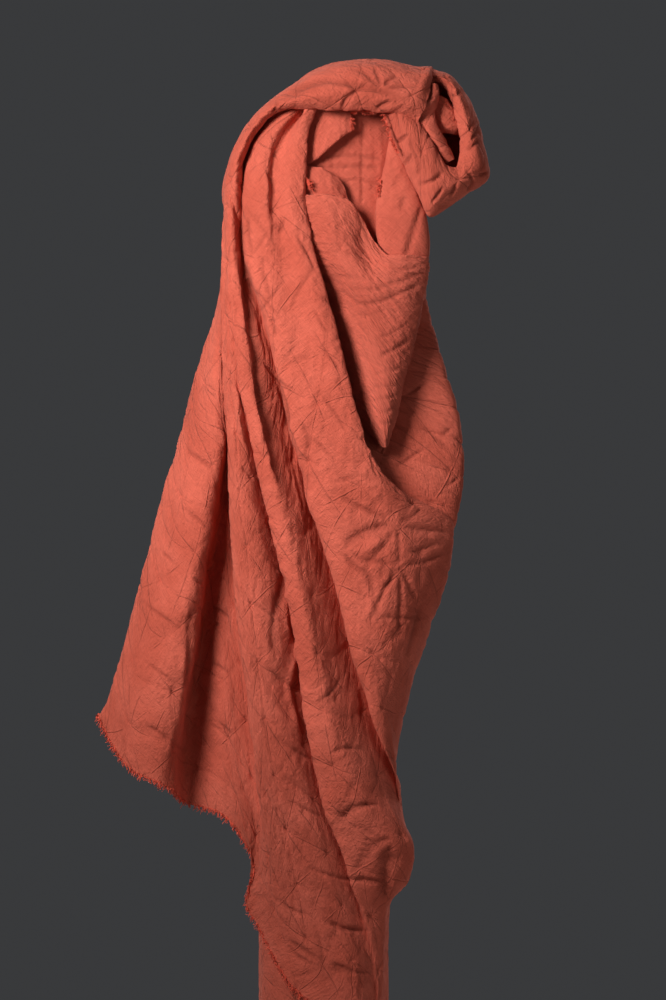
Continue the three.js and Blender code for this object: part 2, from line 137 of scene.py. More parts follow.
def place(across: float, forward: float, up: float) -> Array:
    """Returns a point of the part's frame, in millimetres."""
    return np.array([across, -forward, up], float)


def unit(vectors: Array) -> Array:
    """Returns vectors at unit length."""
    return vectors / np.maximum(np.linalg.norm(vectors, axis=-1, keepdims=True), TINY)


def clear_of_roll(points: Array, radius: float) -> Array:
    """Moves points out wherever they lie too near to the roll's middle and below its top.

    Args:
        points: the points, in the last axis across, back and up.
        radius: how far from the middle they stay.

    Returns:
        The points, none of them inside that radius below the top.
    """
    reach = np.hypot(points[..., 0], points[..., 1])
    inside = (reach < radius) & (points[..., 2] < Roll.HEIGHT)
    scale = np.where(inside, radius / np.maximum(reach, TINY), 1.0)
    return points * np.stack([scale, scale, np.ones_like(scale)], axis=-1)


def travelled(path: Array) -> Array:
    """Returns how far along a path each of its points lies."""
    return np.concatenate([[0.0], np.cumsum(np.linalg.norm(np.diff(path, axis=0), axis=-1))])


def steady(heights: Array, values: Array, query: Array) -> Array:
    """Reads a table by height without overshooting it.

    Args:
        heights: the table's heights, highest first.
        values: the table's values.
        query: the heights that are asked for.

    Returns:
        The values there, on a monotone cubic.
    """
    count = len(values)
    x = np.asarray(heights[:count], float)[::-1]
    y = np.asarray(values, float)[::-1]
    slope = np.diff(y) / np.diff(x)
    tangent = np.empty(count)
    tangent[0], tangent[-1] = slope[0], slope[-1]
    left, right = slope[:-1], slope[1:]
    together = left * right > 0
    tangent[1:-1] = np.where(together, 2 * left * right / np.where(together, left + right, 1.0), 0.0)
    asked = np.clip(query, x[0], x[-1])
    row = np.clip(np.searchsorted(x, asked) - 1, 0, count - 2)
    span = x[row + 1] - x[row]
    s = (asked - x[row]) / span
    return (
        (2 * s**3 - 3 * s**2 + 1) * y[row]
        + (s**3 - 2 * s**2 + s) * span * tangent[row]
        + (3 * s**2 - 2 * s**3) * y[row + 1]
        + (s**3 - s**2) * span * tangent[row + 1]
    )


def refine(lines: Array, steps: list[int], closed: bool = False) -> Array:
    """Runs smooth curves through the rows of a control grid.

    Args:
        lines: control points, shaped (rows, columns, 3).
        steps: how many steps each stretch between two rows is cut into.
        closed: whether the last row leads back to the first.

    Returns:
        The finer grid, with its columns unchanged.
    """
    count = len(lines)
    if closed:
        padded = np.concatenate([lines[-1:], lines, lines[:2]])
    else:
        padded = np.concatenate([2 * lines[:1] - lines[1:2], lines, 2 * lines[-1:] - lines[-2:-1]])
    rows = []
    for stretch in range(count if closed else count - 1):
        before, start, end, after = padded[stretch : stretch + 4]
        knots = [0.0]
        for a, b in ((before, start), (start, end), (end, after)):
            gap = np.sqrt(np.linalg.norm(b - a, axis=-1, keepdims=True))
            knots.append(knots[-1] + np.maximum(gap, SHORTEST_STEP))
        t0, t1, t2, t3 = knots
        for share in np.arange(steps[stretch]) / steps[stretch]:
            t = t1 + (t2 - t1) * share
            a1 = before + (start - before) * (t - t0) / (t1 - t0)
            a2 = start + (end - start) * (t - t1) / (t2 - t1)
            a3 = end + (after - end) * (t - t2) / (t3 - t2)
            b1 = a1 + (a2 - a1) * (t - t0) / (t2 - t0)
            b2 = a2 + (a3 - a2) * (t - t1) / (t3 - t1)
            rows.append(b1 + (b2 - b1) * (t - t1) / (t2 - t1))
    if not closed:
        rows.append(lines[-1])
    return np.stack(rows)


def steps_for(lines: Array, spacing: float, closed: bool = False) -> list[int]:
    """Counts the steps that a control grid needs.

    Args:
        lines: its control points, shaped (rows, columns, 3).
        spacing: about how long a step may be.
        closed: whether the last row leads back to the first.

    Returns:
        The number of steps in each stretch between two rows.
    """
    following = np.roll(lines, -1, axis=0) if closed else lines[1:]
    starting = lines if closed else lines[:-1]
    length = np.linalg.norm(following - starting, axis=-1).mean(axis=1)
    return [max(1, math.ceil(value / spacing)) for value in length]


def fine_grid(control: Array, spacing: float, closed: bool = False) -> Array:
    """Runs a fine grid through a control grid.

    Args:
        control: its points, shaped (rows, columns, 3).
        spacing: about how far apart the fine points are.
        closed: whether the last column leads back to the first.

    Returns:
        The fine grid. When closed, its first column comes again as its last.
    """
    turned = control.transpose(1, 0, 2)
    across = refine(turned, steps_for(turned, spacing, closed), closed).transpose(1, 0, 2)
    if closed:
        across = np.concatenate([across, across[:, :1]], axis=1)
    return refine(across, steps_for(across, spacing))


def places(rows: tuple[tuple[Place, ...], ...]) -> Array:
    """Returns a control grid from rows of places across, up and forward."""
    return np.array([[place(across, forward, up) for across, up, forward in row] for row in rows])


def grid_normals(points: Array) -> Array:
    """Returns the unit normals of a grid of points."""
    along = np.gradient(points, axis=0)
    across = np.gradient(points, axis=1)
    return unit(np.cross(across, along))


def eased(values: Array, reach: int = 22) -> Array:
    """Smooths a grid's columns.

    Args:
        values: the grid.
        reach: how many rows each way are averaged.

    Returns:
        The smoothed grid, which keeps its straight trend.
    """
    reach = min(reach, (len(values) - 1) // 2)
    trend = np.linspace(values[0], values[-1], len(values))
    rest = np.pad(values - trend, ((reach, reach), (0, 0)), mode="reflect", reflect_type="odd")
    total = np.cumsum(np.concatenate([np.zeros((1, values.shape[1])), rest]), axis=0)
    width = 2 * reach + 1
    return trend + (total[width:] - total[:-width]) / width


@dataclass(frozen=True)
class Crease:
    """A soft trough or ridge along a line as the camera sees it, in millimetres.

    Its depth is negative for a trough. On a line listed from the top down, left and right are its widths on
    the viewer's left and right; on one listed from left to right they are its widths below and above.
    """

    STEP: ClassVar[float] = 5.0
    REACH: ClassVar[float] = 2.6

    depth: float
    left: float
    right: float
    line: tuple[Spot, ...]
    ends: float = 0.25

    def path(self) -> Array:
        """Returns a smooth line through the crease's points, in steps of a few millimetres."""
        control = np.array([[(across, up, 0.0)] for across, up in self.line])
        return refine(control, steps_for(control, self.STEP))[:, 0, :2]

    def press(self, across: Array, up: Array) -> Array:
        """Works out how far the crease moves the cloth out.

        Args:
            across: the points' places across.
            up: their heights.

        Returns:
            The outward move of each point.
        """
        path = self.path()
        reach = self.REACH * max(self.left, self.right)
        low, high = path.min(axis=0) - reach, path.max(axis=0) + reach
        inside = (across > low[0]) & (across < high[0]) & (up > low[1]) & (up < high[1])
        moved = np.zeros(across.shape)
        spot = np.stack([across[inside], up[inside]], axis=-1)
        length = travelled(path)
        nearest = np.full(len(spot), np.inf)
        side, share = np.zeros(len(spot)), np.zeros(len(spot))
        for start, end, begun in zip(path[:-1], path[1:], length):
            run = end - start
            t = np.clip((spot - start) @ run / (run @ run), 0, 1)
            off = spot - (start + t[:, None] * run)
            far = np.hypot(off[:, 0], off[:, 1])
            closer = far < nearest
            nearest = np.where(closer, far, nearest)
            side = np.where(closer, run[0] * off[:, 1] - run[1] * off[:, 0], side)
            share = np.where(closer, (begun + t * np.linalg.norm(run)) / length[-1], share)
        width = np.where(side > 0, self.right, self.left)
        taper = np.clip(np.minimum(share, 1 - share) / self.ends, 0, 1)
        moved[inside] = self.depth * taper * taper * (3 - 2 * taper) * np.exp(-((nearest / width) ** 2))
        return moved


@dataclass
class Quilting:
    """The sunken straight lines of the jacquard, which meet in stars.

    Stars stand in columns, a step apart, and each second column is half a step lower. Lines run through
    them along the columns and along four slants, so that the cloth between them is a net of triangles.
    """

    column: float = 56.0
    step: float = 57.0
    line_width: float = 2.1
    line_depth: float = 0.85
    puff: float = 0.35
    puff_reach: float = 7.0
    star_depth: float = 0.2
    star_reach: float = 13.0
    dimple_share: float = 0.55
    families: tuple[Spot, ...] = ((0.5, 0.6), (-0.5, 1.2), (1.5, 0.4), (-1.5, 0.4))
    column_strength: float = 0.6
    least_strength: float = 0.3
    patch_size: Spot = (47.0, 61.0)
    patch_shift: Spot = (31.0, 7.0)
    patch_middle: float = 0.55
    patch_swing: float = 0.6
    star_firmness: float = 0.6
    faintest: float = 0.12
    firmest: float = 1.5

    def distances(self, u: Array, v: Array) -> list[tuple[Array, float]]:
        """Measures how far points are from the lines.

        Args:
            u: cloth coordinates across.
            v: cloth coordinates along.

        Returns:
            For each family of lines, the distance to the nearest one and the family's strength.
        """
        rows = [(np.abs((u / self.column + 0.5) % 1 - 0.5) * self.column, self.column_strength)]
        for rise, strength in self.families:
            slope = rise * self.step / self.column
            offset = np.abs(((v - slope * u) / self.step + 0.5) % 1 - 0.5) * self.step
            rows.append((offset / math.hypot(1, slope), strength))
        return rows

    def star_distance(self, u: Array, v: Array) -> Array:
        """Measures how far points are from the stars.

        Args:
            u: cloth coordinates across.
            v: cloth coordinates along.

        Returns:
            The distance to the nearest star.
        """
        best = np.full(u.shape, np.inf)
        for shift in (0, 1):
            du = ((u / self.column - shift) / 2 + 0.5) % 1 - 0.5
            dv = (v / self.step - shift / 2 + 0.5) % 1 - 0.5
            best = np.minimum(best, np.hypot(du * 2 * self.column, dv * self.step))
        return best

    def relief(self, u: Array, v: Array, seed: int) -> Array:
        """Works out the quilted relief.

        Args:
            u: cloth coordinates across, in millimetres.
            v: cloth coordinates along.
            seed: what the unevenness starts from.

        Returns:
            How far each point stands out, in millimetres.
        """
        noise = Noise(seed)
        star = self.star_distance(u, v)
        near_star = np.exp(-((star / self.star_reach) ** 2))
        total = np.zeros(u.shape)
        nearest = np.full(u.shape, np.inf)
        for index, (away, strength) in enumerate(self.distances(u, v)):
            shift_u, shift_v = (shift * index for shift in self.patch_shift)
            patchy = noise.at(u / self.patch_size[0] + shift_u, v / self.patch_size[1] + shift_v)
            uneven = self.patch_middle + self.patch_swing * patchy
            uneven = np.clip(uneven + self.star_firmness * near_star, self.faintest, self.firmest)
            total -= self.line_depth * strength * uneven * np.exp(-((away / self.line_width) ** 2))
            nearest = np.minimum(nearest, away / max(strength, self.least_strength))
        total += self.puff * (1 - np.exp(-((nearest / self.puff_reach) ** 2)))
        total -= self.star_depth * np.exp(-((star / (self.dimple_share * self.star_reach)) ** 2))
        return total


@dataclass
class Crinkle:
    """The soft unevenness of washed cloth."""

    wide: float = 0.9
    wide_size: float = 46.0
    fine: float = 0.85
    fine_size: float = 10.0
    stretch: float = 1.7
    fine_shift: Spot = (91.0, 13.0)
    patch_size: Spot = (80.0, 95.0)
    patch_shift: Spot = (3.0, 9.0)

    def relief(self, u: Array, v: Array, seed: int) -> Array:
        """Works out the unevenness.

        Args:
            u: cloth coordinates across, in millimetres.
            v: cloth coordinates along.
            seed: what the unevenness starts from.

        Returns:
            How far each point stands out, in millimetres.
        """
        noise = Noise(seed)
        broad = noise.layered(u / self.wide_size, v / (self.wide_size * self.stretch), 2)
        fine_u = u / self.fine_size + self.fine_shift[0]
        fine_v = v / (self.fine_size * self.stretch) + self.fine_shift[1]
        patch_u, patch_v = (
            value / size + shift for value, size, shift in zip((u, v), self.patch_size, self.patch_shift)
        )
        patchy = 0.5 + 0.5 * noise.at(patch_u, patch_v)
        sharp = 1 - 2 * np.abs(noise.layered(fine_u, fine_v, 3))
        return self.wide * broad + self.fine * patchy * sharp


@dataclass
class Patch:
    """One stretch of cloth: a grid of points with its cloth coordinates."""

    CORE: ClassVar[Spot] = (10.0, 0.0)
    FRONT_EDGE: ClassVar[float] = 0.5
    FRONT_RISE: ClassVar[float] = 2.0

    name: str
    layer: Layer
    points: Array
    seed: int
    origin: Spot = (0.0, 0.0)
    start_column: int = 0
    cloth: Array = field(init=False)
    painted_crease_shade: Array = field(init=False)

    def __post_init__(self) -> None:
        """Measures the cloth coordinates along the grid, before any relief."""
        across = np.linalg.norm(np.diff(self.points, axis=1), axis=-1)
        along = np.linalg.norm(np.diff(self.points, axis=0), axis=-1)
        u = np.concatenate([np.zeros((len(self.points), 1)), np.cumsum(across, axis=1)], axis=1)
        u -= u[:, self.start_column][:, None]
        v = np.concatenate([np.zeros((1, self.points.shape[1])), np.cumsum(along, axis=0)], axis=0)
        u, v = eased(u), eased(v.T).T
        self.cloth = np.stack([u + self.origin[0], v + self.origin[1]], axis=-1)
        self.painted_crease_shade = np.zeros(self.points.shape[:2])

    def outward(self) -> Array:
        """Returns unit normals that point away from the roll."""
        normal = grid_normals(self.points)
        facing = (normal[..., :2] * (self.points[..., :2] - np.array(self.CORE))).sum(axis=-1)
        return normal if np.median(facing) >= 0 else -normal

    def work(self, quilting: Quilting, crinkle: Crinkle, keep_out: float) -> None:
        """Presses the relief into the patch.

        Args:
            quilting: the jacquard's own lines.
            crinkle: the cloth's unevenness.
            keep_out: how far from the roll's middle the cloth stays, in millimetres.
        """
        u, v = self.cloth[..., 0], self.cloth[..., 1]
        quilted = QUILTED.get(self.layer, 1.0)
        move = quilted * quilting.relief(u, v, self.seed) + crinkle.relief(u, v, self.seed + 1)
        normal = self.outward()
        in_front = np.clip(self.FRONT_EDGE - self.FRONT_RISE * normal[..., 1], 0, 1)
        across, up = Studio.seen(self.points)
        creased = np.zeros(move.shape)
        for crease in CREASES.get(self.layer, ()):
            creased += in_front * crease.press(across, up)
        # A mask for painted shade: the deeper a trough sinks, the darker its colour is painted.
        self.painted_crease_shade = np.clip(-creased / PAINTED_CREASE_SHADE_FULL, 0, 1)
        move += creased
        self.points = clear_of_roll(self.points + normal * move[..., None], keep_out)

    def columns(self, first: int, last: int, name: str) -> "Patch":
        """Cuts a part out of the patch.

        Args:
            first: its first column.
            last: its last column, which the next part starts with.
            name: its name.

        Returns:
            The part, which keeps the whole patch's cloth coordinates.
        """
        part = copy(self)
        part.name = name
        part.points, part.cloth, part.painted_crease_shade = (
            grid[:, first : last + 1] for grid in (self.points, self.cloth, self.painted_crease_shade)
        )
        return part

    def measure(self) -> str:
        """Returns the patch's name and its area in square metres."""
        along, across = np.gradient(self.points, axis=0), np.gradient(self.points, axis=1)
        area = np.linalg.norm(np.cross(along, across), axis=-1)[:-1, :-1].sum() * MM * MM
        return f"{self.name} area {area:.4f}"

    def build(self, material: bpy.types.Material) -> bpy.types.Object:
        """Makes the mesh, with the cloth coordinates as its UV map.

        Args:
            material: its finish.

        Returns:
            The new object.
        """
        rows, columns = self.points.shape[:2]
        index = np.arange(rows * columns).reshape(rows, columns)
        corners = (index[:-1, :-1], index[1:, :-1], index[1:, 1:], index[:-1, 1:])
        quads = np.stack(corners, axis=-1).reshape(-1, 4)
        made = mesh_object(self.name, self.points.reshape(-1, 3), quads, self.cloth.reshape(-1, 2), material)
        # Keeps the mask of painted shade in the troughs as a mesh attribute.
        painted_crease_shade = made.data.attributes.new(PAINTED_CREASE_SHADE_NAME, "FLOAT", "POINT")
        painted_crease_shade.data.foreach_set("value", self.painted_crease_shade.astype(np.float32).ravel())
        return made


def mesh_object(
    name: str, points: Array, faces: Array, cloth: Array, material: bpy.types.Material
) -> bpy.types.Object:
    """Makes a smooth mesh from arrays in millimetres.

    Args:
        name: the piece's name.
        points: its vertices.
        faces: its faces, all with the same number of corners.
        cloth: each vertex's cloth coordinates.
        material: its material.

    Returns:
        The new object, linked to the scene.
    """
    corners = faces.shape[1]
    mesh = bpy.data.meshes.new(name)
    mesh.vertices.add(len(points))
    mesh.vertices.foreach_set("co", (points * MM).astype(np.float32).ravel())
    mesh.loops.add(faces.size)
    mesh.loops.foreach_set("vertex_index", faces.astype(np.int32).ravel())
    mesh.polygons.add(len(faces))
    mesh.polygons.foreach_set("loop_start", np.arange(0, faces.size, corners, dtype=np.int32))
    mesh.update(calc_edges=True)
    layer = mesh.uv_layers.new(name=CLOTH_UV)
    layer.data.foreach_set("uv", (cloth[faces.ravel()] * MM).astype(np.float32).ravel())
    mesh.polygons.foreach_set("use_smooth", np.ones(len(faces), bool))
    mesh.materials.append(material)
    mesh.validate()
    made = bpy.data.objects.new(name, mesh)
    bpy.context.scene.collection.objects.link(made)
    return made


@dataclass(frozen=True)
class FoldLine:
    """One fold line of the wrap from its top to its hem.

    Its rows hold a height and the line's places across and forward there, from the top down.
    """

    SWAY: ClassVar[Spot] = (34.0, 0.5)
    BOB: ClassVar[Spot] = (27.0, 9.5)

    name: str
    top: float
    hem: float
    spacing: float
    rows: tuple[Place, ...]
    wobble: float = 0.6

    def trace(self, share: Array) -> Array:
        """Follows the line.

        Args:
            share: shares of the way from its top to its hem.

        Returns:
            The line's points there.
        """
        up = self.top + (self.hem - self.top) * share
        heights, across, forward = np.array(self.rows, float).T
        noise = Noise(int(self.hem))
        sway, bob = (
            self.wobble * noise.layered(up / size, np.full(up.shape, lane), 2)
            for size, lane in (self.SWAY, self.BOB)
        )
        return np.stack([steady(heights, across, up) + sway, bob - steady(heights, forward, up), up], axis=-1)


@dataclass
class Wrap:
    """The loose end, from the opening's edge round the back to the layer inside the right edge."""

    lines: tuple[FoldLine, ...] = (
        FoldLine("opening_lip", 1388, 372, 2.0, (
            (1388, -12, 80), (1358, -20, 76), (1300, -20, 78), (1255, -13, 84), (1200, 2, 94),
            (1135, 18, 100), (1085, 31, 104), (1055, 41, 104), (1030, 53, 100), (1012, 72, 90),
            (1000, 92, 78), (985, 114, 66), (940, 122, 50), (870, 103, 46), (800, 82, 30), (735, 66, 4),
            (650, 40, -60), (590, 22, -67), (480, 0, -69),
        )),
        FoldLine("opening_edge", 1390, 375, 2.0, (
            (1390, -2, 92), (1358, -13, 90), (1300, -15, 93), (1255, -8, 100), (1200, 7, 108),
            (1135, 23, 114), (1085, 36, 118), (1055, 46, 118), (1030, 58, 114), (1012, 76, 106),
            (1000, 96, 94), (990, 118, 80), (975, 131, 70), (940, 129, 64), (870, 107, 60), (800, 86, 42),
            (735, 70, 14), (650, 46, -58), (590, 26, -66), (480, 4, -68),
        )),
        FoldLine("opening_face", 1390, 385, 2.0, (
            (1390, -13, 96), (1350, -25, 92), (1300, -28, 98), (1260, -22, 104), (1200, -5, 113),
            (1120, 17, 119), (1060, 32, 122), (1000, 68, 117), (940, 95, 106), (870, 88, 98), (800, 82, 72),
            (735, 74, 32), (650, 64, -36), (590, 48, -50), (480, 33, -60),
        )),
        FoldLine("shoulder_valley", 1391, 395, 2.0, (
            (1391, -7, 76), (1378, -21, 76), (1369, -28, 77), (1358, -35, 79), (1345, -42, 81),
            (1322, -46, 85), (1300, -46, 89), (1284, -44, 93), (1250, -39, 99), (1200, -28, 105),
            (1120, -5, 114), (1060, 9, 119), (1000, 36, 122), (940, 58, 122), (870, 62, 116), (800, 72, 90),
            (735, 74, 52), (650, 70, 2), (590, 60, -28), (480, 52, -42),
        )),
        FoldLine("shoulder_fold", 1390, 405, 2.0, (
            (1390, -22, 84), (1378, -33, 85), (1365, -44, 86), (1350, -51, 87), (1320, -54, 92),
            (1300, -54, 96), (1260, -52, 100), (1200, -48, 104), (1120, -30, 109), (1060, -15, 113),
            (1000, 3, 117), (940, 24, 119), (870, 37, 119), (800, 57, 106), (735, 74, 66), (650, 76, 22),
            (590, 66, -4), (480, 60, -28),
        ), 1.2),
        FoldLine("deep_edge", 1388, 412, 2.0, (
            (1388, -48, 64), (1370, -59, 62), (1350, -69, 66), (1320, -74, 74), (1300, -75, 80),
            (1260, -73, 87), (1225, -71, 91), (1200, -61, 94), (1165, -51, 98), (1120, -41, 101),
            (1080, -33, 103), (1060, -29, 105), (1020, -16, 106), (1000, -13, 107), (960, 2, 108),
            (940, 8, 109), (900, 18, 110), (870, 25, 111), (840, 33, 109), (800, 46, 104), (760, 60, 90),
            (735, 71, 74), (715, 78, 60), (650, 79, 32), (590, 67, 6), (480, 62, -20),
        ), 1.0),
        FoldLine("deep_valley", 1386, 416, 2.0, (
            (1386, -50, 56), (1370, -61, 54), (1350, -71, 56), (1320, -77, 62), (1300, -79, 64),
            (1260, -78, 72), (1225, -74, 79), (1200, -63, 75), (1165, -52, 78), (1120, -40, 78),
            (1060, -27, 77), (1000, -10, 77), (940, 10, 79), (870, 27, 81), (800, 48, 77), (760, 61, 69),
            (735, 71, 55), (715, 79, 43), (650, 82, 40), (590, 68, 14), (480, 63, -12),
        )),
        FoldLine("deep_slope", 1346, 422, 2.0, (
            (1346, -76, 58), (1300, -82, 71), (1260, -83, 79), (1225, -79, 85), (1200, -71, 85),
            (1165, -63, 88), (1120, -53, 88), (1060, -45, 94), (1000, -26, 99), (940, -10, 103),
            (870, 5, 106), (800, 23, 103), (760, 36, 100), (735, 48, 94), (700, 64, 84), (650, 93, 62),
            (620, 88, 48), (600, 70, 42), (590, 66, 38), (480, 63, 6),
        ), 1.2),
        FoldLine("long_fold", 1345, 432, 2.0, (
            (1345, -78, 57), (1300, -86, 77), (1260, -85, 85), (1200, -78, 94), (1120, -68, 103),
            (1060, -56, 109), (1000, -41, 114), (940, -26, 118), (870, -11, 122), (800, 3, 120),
            (735, 22, 113), (690, 46, 102), (650, 68, 86), (620, 72, 72), (590, 62, 54), (480, 61, 26),
        )),
        FoldLine("long_edge", 1344, 444, 2.0, (
            (1344, -80, 56), (1300, -88, 78), (1260, -88, 87), (1200, -84, 93), (1120, -80, 99),
            (1080, -73, 101), (1060, -69, 102), (1000, -56, 104), (940, -41, 108), (870, -26, 111),
            (800, -18, 110), (735, -6, 105), (700, 2, 100), (650, 22, 88), (620, 31, 79), (590, 42, 66),
            (540, 53, 48), (480, 58, 36),
        ), 1.2),
        FoldLine("long_valley", 1343, 448, 2.0, (
            (1343, -81, 54), (1300, -90, 77), (1260, -90, 85), (1200, -87, 91), (1120, -82, 97),
            (1080, -74, 95), (1060, -69, 93), (1000, -54, 88), (940, -39, 91), (870, -24, 93),
            (800, -16, 91), (735, -4, 90), (700, 4, 86), (650, 23, 76), (620, 31, 69), (590, 41, 60),
            (540, 51, 47), (480, 56, 36),
        )),
        FoldLine("apron_slope", 1342, 478, 2.2, (
            (1342, -82, 52), (1300, -92, 75), (1260, -92, 83), (1200, -90, 88), (1120, -86, 97),
            (1060, -77, 103), (1000, -66, 106), (940, -56, 110), (870, -45, 114), (800, -38, 113),
            (735, -24, 108), (690, -8, 102), (650, 3, 94), (590, 22, 76), (540, 32, 66), (478, 37, 58),
        ), 3.4),
        FoldLine("apron", 1341, 512, 2.4, (
            (1341, -83, 50), (1300, -94, 72), (1260, -94, 79), (1200, -93, 86), (1120, -90, 95),
            (1060, -84, 103), (1000, -79, 110), (940, -73, 115), (870, -65, 119), (800, -57, 118),
            (735, -46, 112), (650, -30, 94), (590, -19, 77), (540, -12, 68), (512, -24, 64),
        ), 1.0),
        FoldLine("apron_edge", 1340, 570, 2.0, (
            (1340, -84, 47), (1300, -95, 69), (1260, -95, 76), (1200, -95, 83), (1120, -95, 90),
            (1060, -92, 96), (1000, -90, 102), (940, -86, 106), (870, -80, 110), (800, -71, 111),
            (760, -67, 109), (735, -64, 106), (690, -59, 98), (650, -55, 84), (600, -54, 62),
            (570, -59, 44),
        )),
        FoldLine("brink", 1339, 598, 2.0, (
            (1339, -85, 44), (1300, -96, 66), (1260, -96, 72), (1200, -98, 79), (1120, -97, 87),
            (1075, -94, 88), (1060, -91, 80), (1000, -87, 64), (940, -83, 65), (870, -76, 72),
            (800, -68, 77), (735, -62, 76), (690, -59, 76), (650, -61, 66), (620, -67, 52), (598, -74, 40),
        )),
        FoldLine("plane_fold", 1339, 640, 2.2, (
            (1339, -86, 40), (1300, -97, 62), (1260, -97, 68), (1200, -99, 77), (1120, -98, 87),
            (1075, -95, 87), (1060, -92, 77), (1000, -90, 59), (940, -89, 58), (870, -87, 65),
            (800, -83, 70), (735, -77, 70), (690, -72, 70), (665, -71, 68), (640, -68, 58),
        ), 1.2),
        FoldLine("plane", 1338, 686, 2.2, (
            (1338, -86, 36), (1300, -94, 58), (1260, -95, 63), (1200, -99, 74), (1120, -99, 86),
            (1075, -96, 86), (1060, -93, 75), (1000, -93, 57), (940, -96, 56), (870, -99, 60),
            (800, -99, 66), (740, -98, 65), (682, -95, 62),
        )),
        FoldLine("flare_valley", 1338, 699, 2.2, (
            (1338, -87, 33), (1300, -95, 54), (1260, -95, 59), (1200, -100, 71), (1120, -100, 85),
            (1075, -97, 86), (1060, -94, 78), (1000, -98, 55), (940, -108, 50), (870, -117, 48),
            (800, -127, 46), (740, -134, 46), (694, -134, 47),
        )),
        FoldLine("flare_brink", 1337, 713, 2.0, (
            (1337, -87, 30), (1300, -95, 49), (1260, -95, 54), (1200, -101, 67), (1120, -101, 84),
            (1075, -98, 89), (1060, -96, 90), (1000, -104, 88), (940, -115, 92), (870, -124, 94),
            (800, -137, 93), (760, -145, 91), (701, -148, 86),
        ), 1.4),
        FoldLine("flare_ridge", 1337, 720, 2.2, (
            (1337, -87, 26), (1300, -95, 43), (1260, -96, 48), (1200, -101, 62), (1120, -106, 80),
            (1060, -103, 92), (1000, -113, 95), (940, -123, 100), (870, -137, 103), (800, -148, 104),
            (760, -155, 102), (710, -160, 98),
        ), 1.6),
        FoldLine("flare_face", 1337, 736, 2.4, (
            (1337, -87, 16), (1300, -95, 33), (1260, -96, 38), (1200, -102, 52), (1120, -117, 66),
            (1060, -124, 80), (1000, -138, 84), (940, -149, 88), (870, -167, 94), (800, -183, 97),
            (727, -191, 94),
        )),
        FoldLine("flare_edge", 1336, 787, 2.4, (
            (1336, -87, 4), (1300, -93, 20), (1260, -93, 26), (1200, -102, 38), (1160, -114, 44),
            (1120, -126, 48), (1080, -136, 53), (1040, -146, 58), (1000, -158, 62), (960, -168, 66),
            (920, -179, 69), (880, -188, 72), (840, -199, 75), (800, -211, 78), (787, -220, 79),
        )),
        FoldLine("flare_back", 1336, 750, 3.4, (
            (1350, -83, -18), (1200, -98, 0), (1040, -126, 14), (985, -138, 18), (870, -160, 24),
            (735, -182, 30),
        )),
        FoldLine("back_left", 1338, 718, 4.0, (
            (1350, -64, -54), (1200, -80, -46), (1040, -92, -42), (985, -96, -42), (870, -104, -40),
            (735, -112, -38),
        )),
        FoldLine("back_fold_left", 1340, 722, 4.0, (
            (1350, -34, -84), (1200, -42, -90), (1040, -48, -94), (985, -50, -96), (870, -55, -99),
            (735, -60, -102),
        )),
        FoldLine("back_valley", 1342, 748, 4.0, (
            (1350, 0, -78), (1200, 0, -78), (1040, 2, -79), (985, 2, -79), (870, 2, -80), (735, 0, -82),
        )),
        FoldLine("back_fold_right", 1346, 790, 4.0, (
            (1350, 38, -84), (1200, 42, -90), (1040, 46, -94), (985, 48, -95), (870, 50, -92),
            (735, 50, -86),
        )),
        FoldLine("back_right", 1356, 846, 4.0, (
            (1350, 72, -50), (1200, 82, -48), (1040, 96, -42), (985, 100, -38), (870, 98, -22),
            (735, 84, -10),
        )),
        FoldLine("right_wall", 1366, 884, 3.0, (
            (1350, 84, -14), (1200, 98, 6), (1040, 130, 24), (985, 124, 30), (930, 108, 32), (870, 98, 34),
            (735, 80, 30),
        )),
        FoldLine("right_edge", 1366, 902, 2.4, (
            (1350, 87, 14), (1200, 105, 46), (1040, 141, 62), (985, 135, 62), (930, 114, 58), (870, 98, 56),
            (735, 80, 50),
        )),
        FoldLine("inner_face", 1356, 916, 2.4, (
            (1350, 75, 26), (1200, 88, 60), (1040, 100, 76), (985, 98, 80), (870, 80, 82), (735, 66, 72),
        )),
        FoldLine("inner_end", 1352, 926, 2.4, (
            (1350, 61, 34), (1200, 62, 62), (1040, 34, 76), (985, 30, 78), (870, 34, 84), (735, 34, 80),
        )),
    )
    rows: int = 440
    gap_percentile: float = 70.0
    fewest_steps: int = 2
    seat: float = 67.2
    keep_out: float = 65.4
    origin_line: str = "apron"
    parting_lines: tuple[str, ...] = ("long_fold", "flare_back")

    def patch(self) -> tuple[Patch, list[int]]:
        """Returns the wrap's patch, and the columns at which it is parted into meshes."""
        control = np.stack([line.trace(np.linspace(0.0, 1.0, self.rows + 1)) for line in self.lines])
        names = [line.name for line in self.lines]
        gaps = np.linalg.norm(control[1:] - control[:-1], axis=-1)
        spacing = [line.spacing for line in self.lines[1:]]
        steps = [
            max(self.fewest_steps, math.ceil(np.percentile(gap, self.gap_percentile) / wide))
            for gap, wide in zip(gaps, spacing)
        ]
        points = clear_of_roll(refine(control, steps).transpose(1, 0, 2), self.seat)
        column = {name: sum(steps[: names.index(name)]) for name in names}
        whole = Patch("drape", Layer.WRAP, points, seed=11, start_column=column[self.origin_line])
        ends = [0, *(column[name] for name in self.parting_lines), points.shape[1] - 1]
        return whole, ends


@dataclass(frozen=True)
class BandSection:
    """One section of the hood's band, turned about a point beside the roll's top."""

    turn: float
    rake: float
    edge: float
    crown: float
    edge_forward: float
    brow_forward: float


@dataclass(frozen=True)
class CurlSection:
    """One section of the strip that turns from the band's end round the pocket and back under it."""

    inner: Spot
    outer: Spot
    forward: float
    rear: float


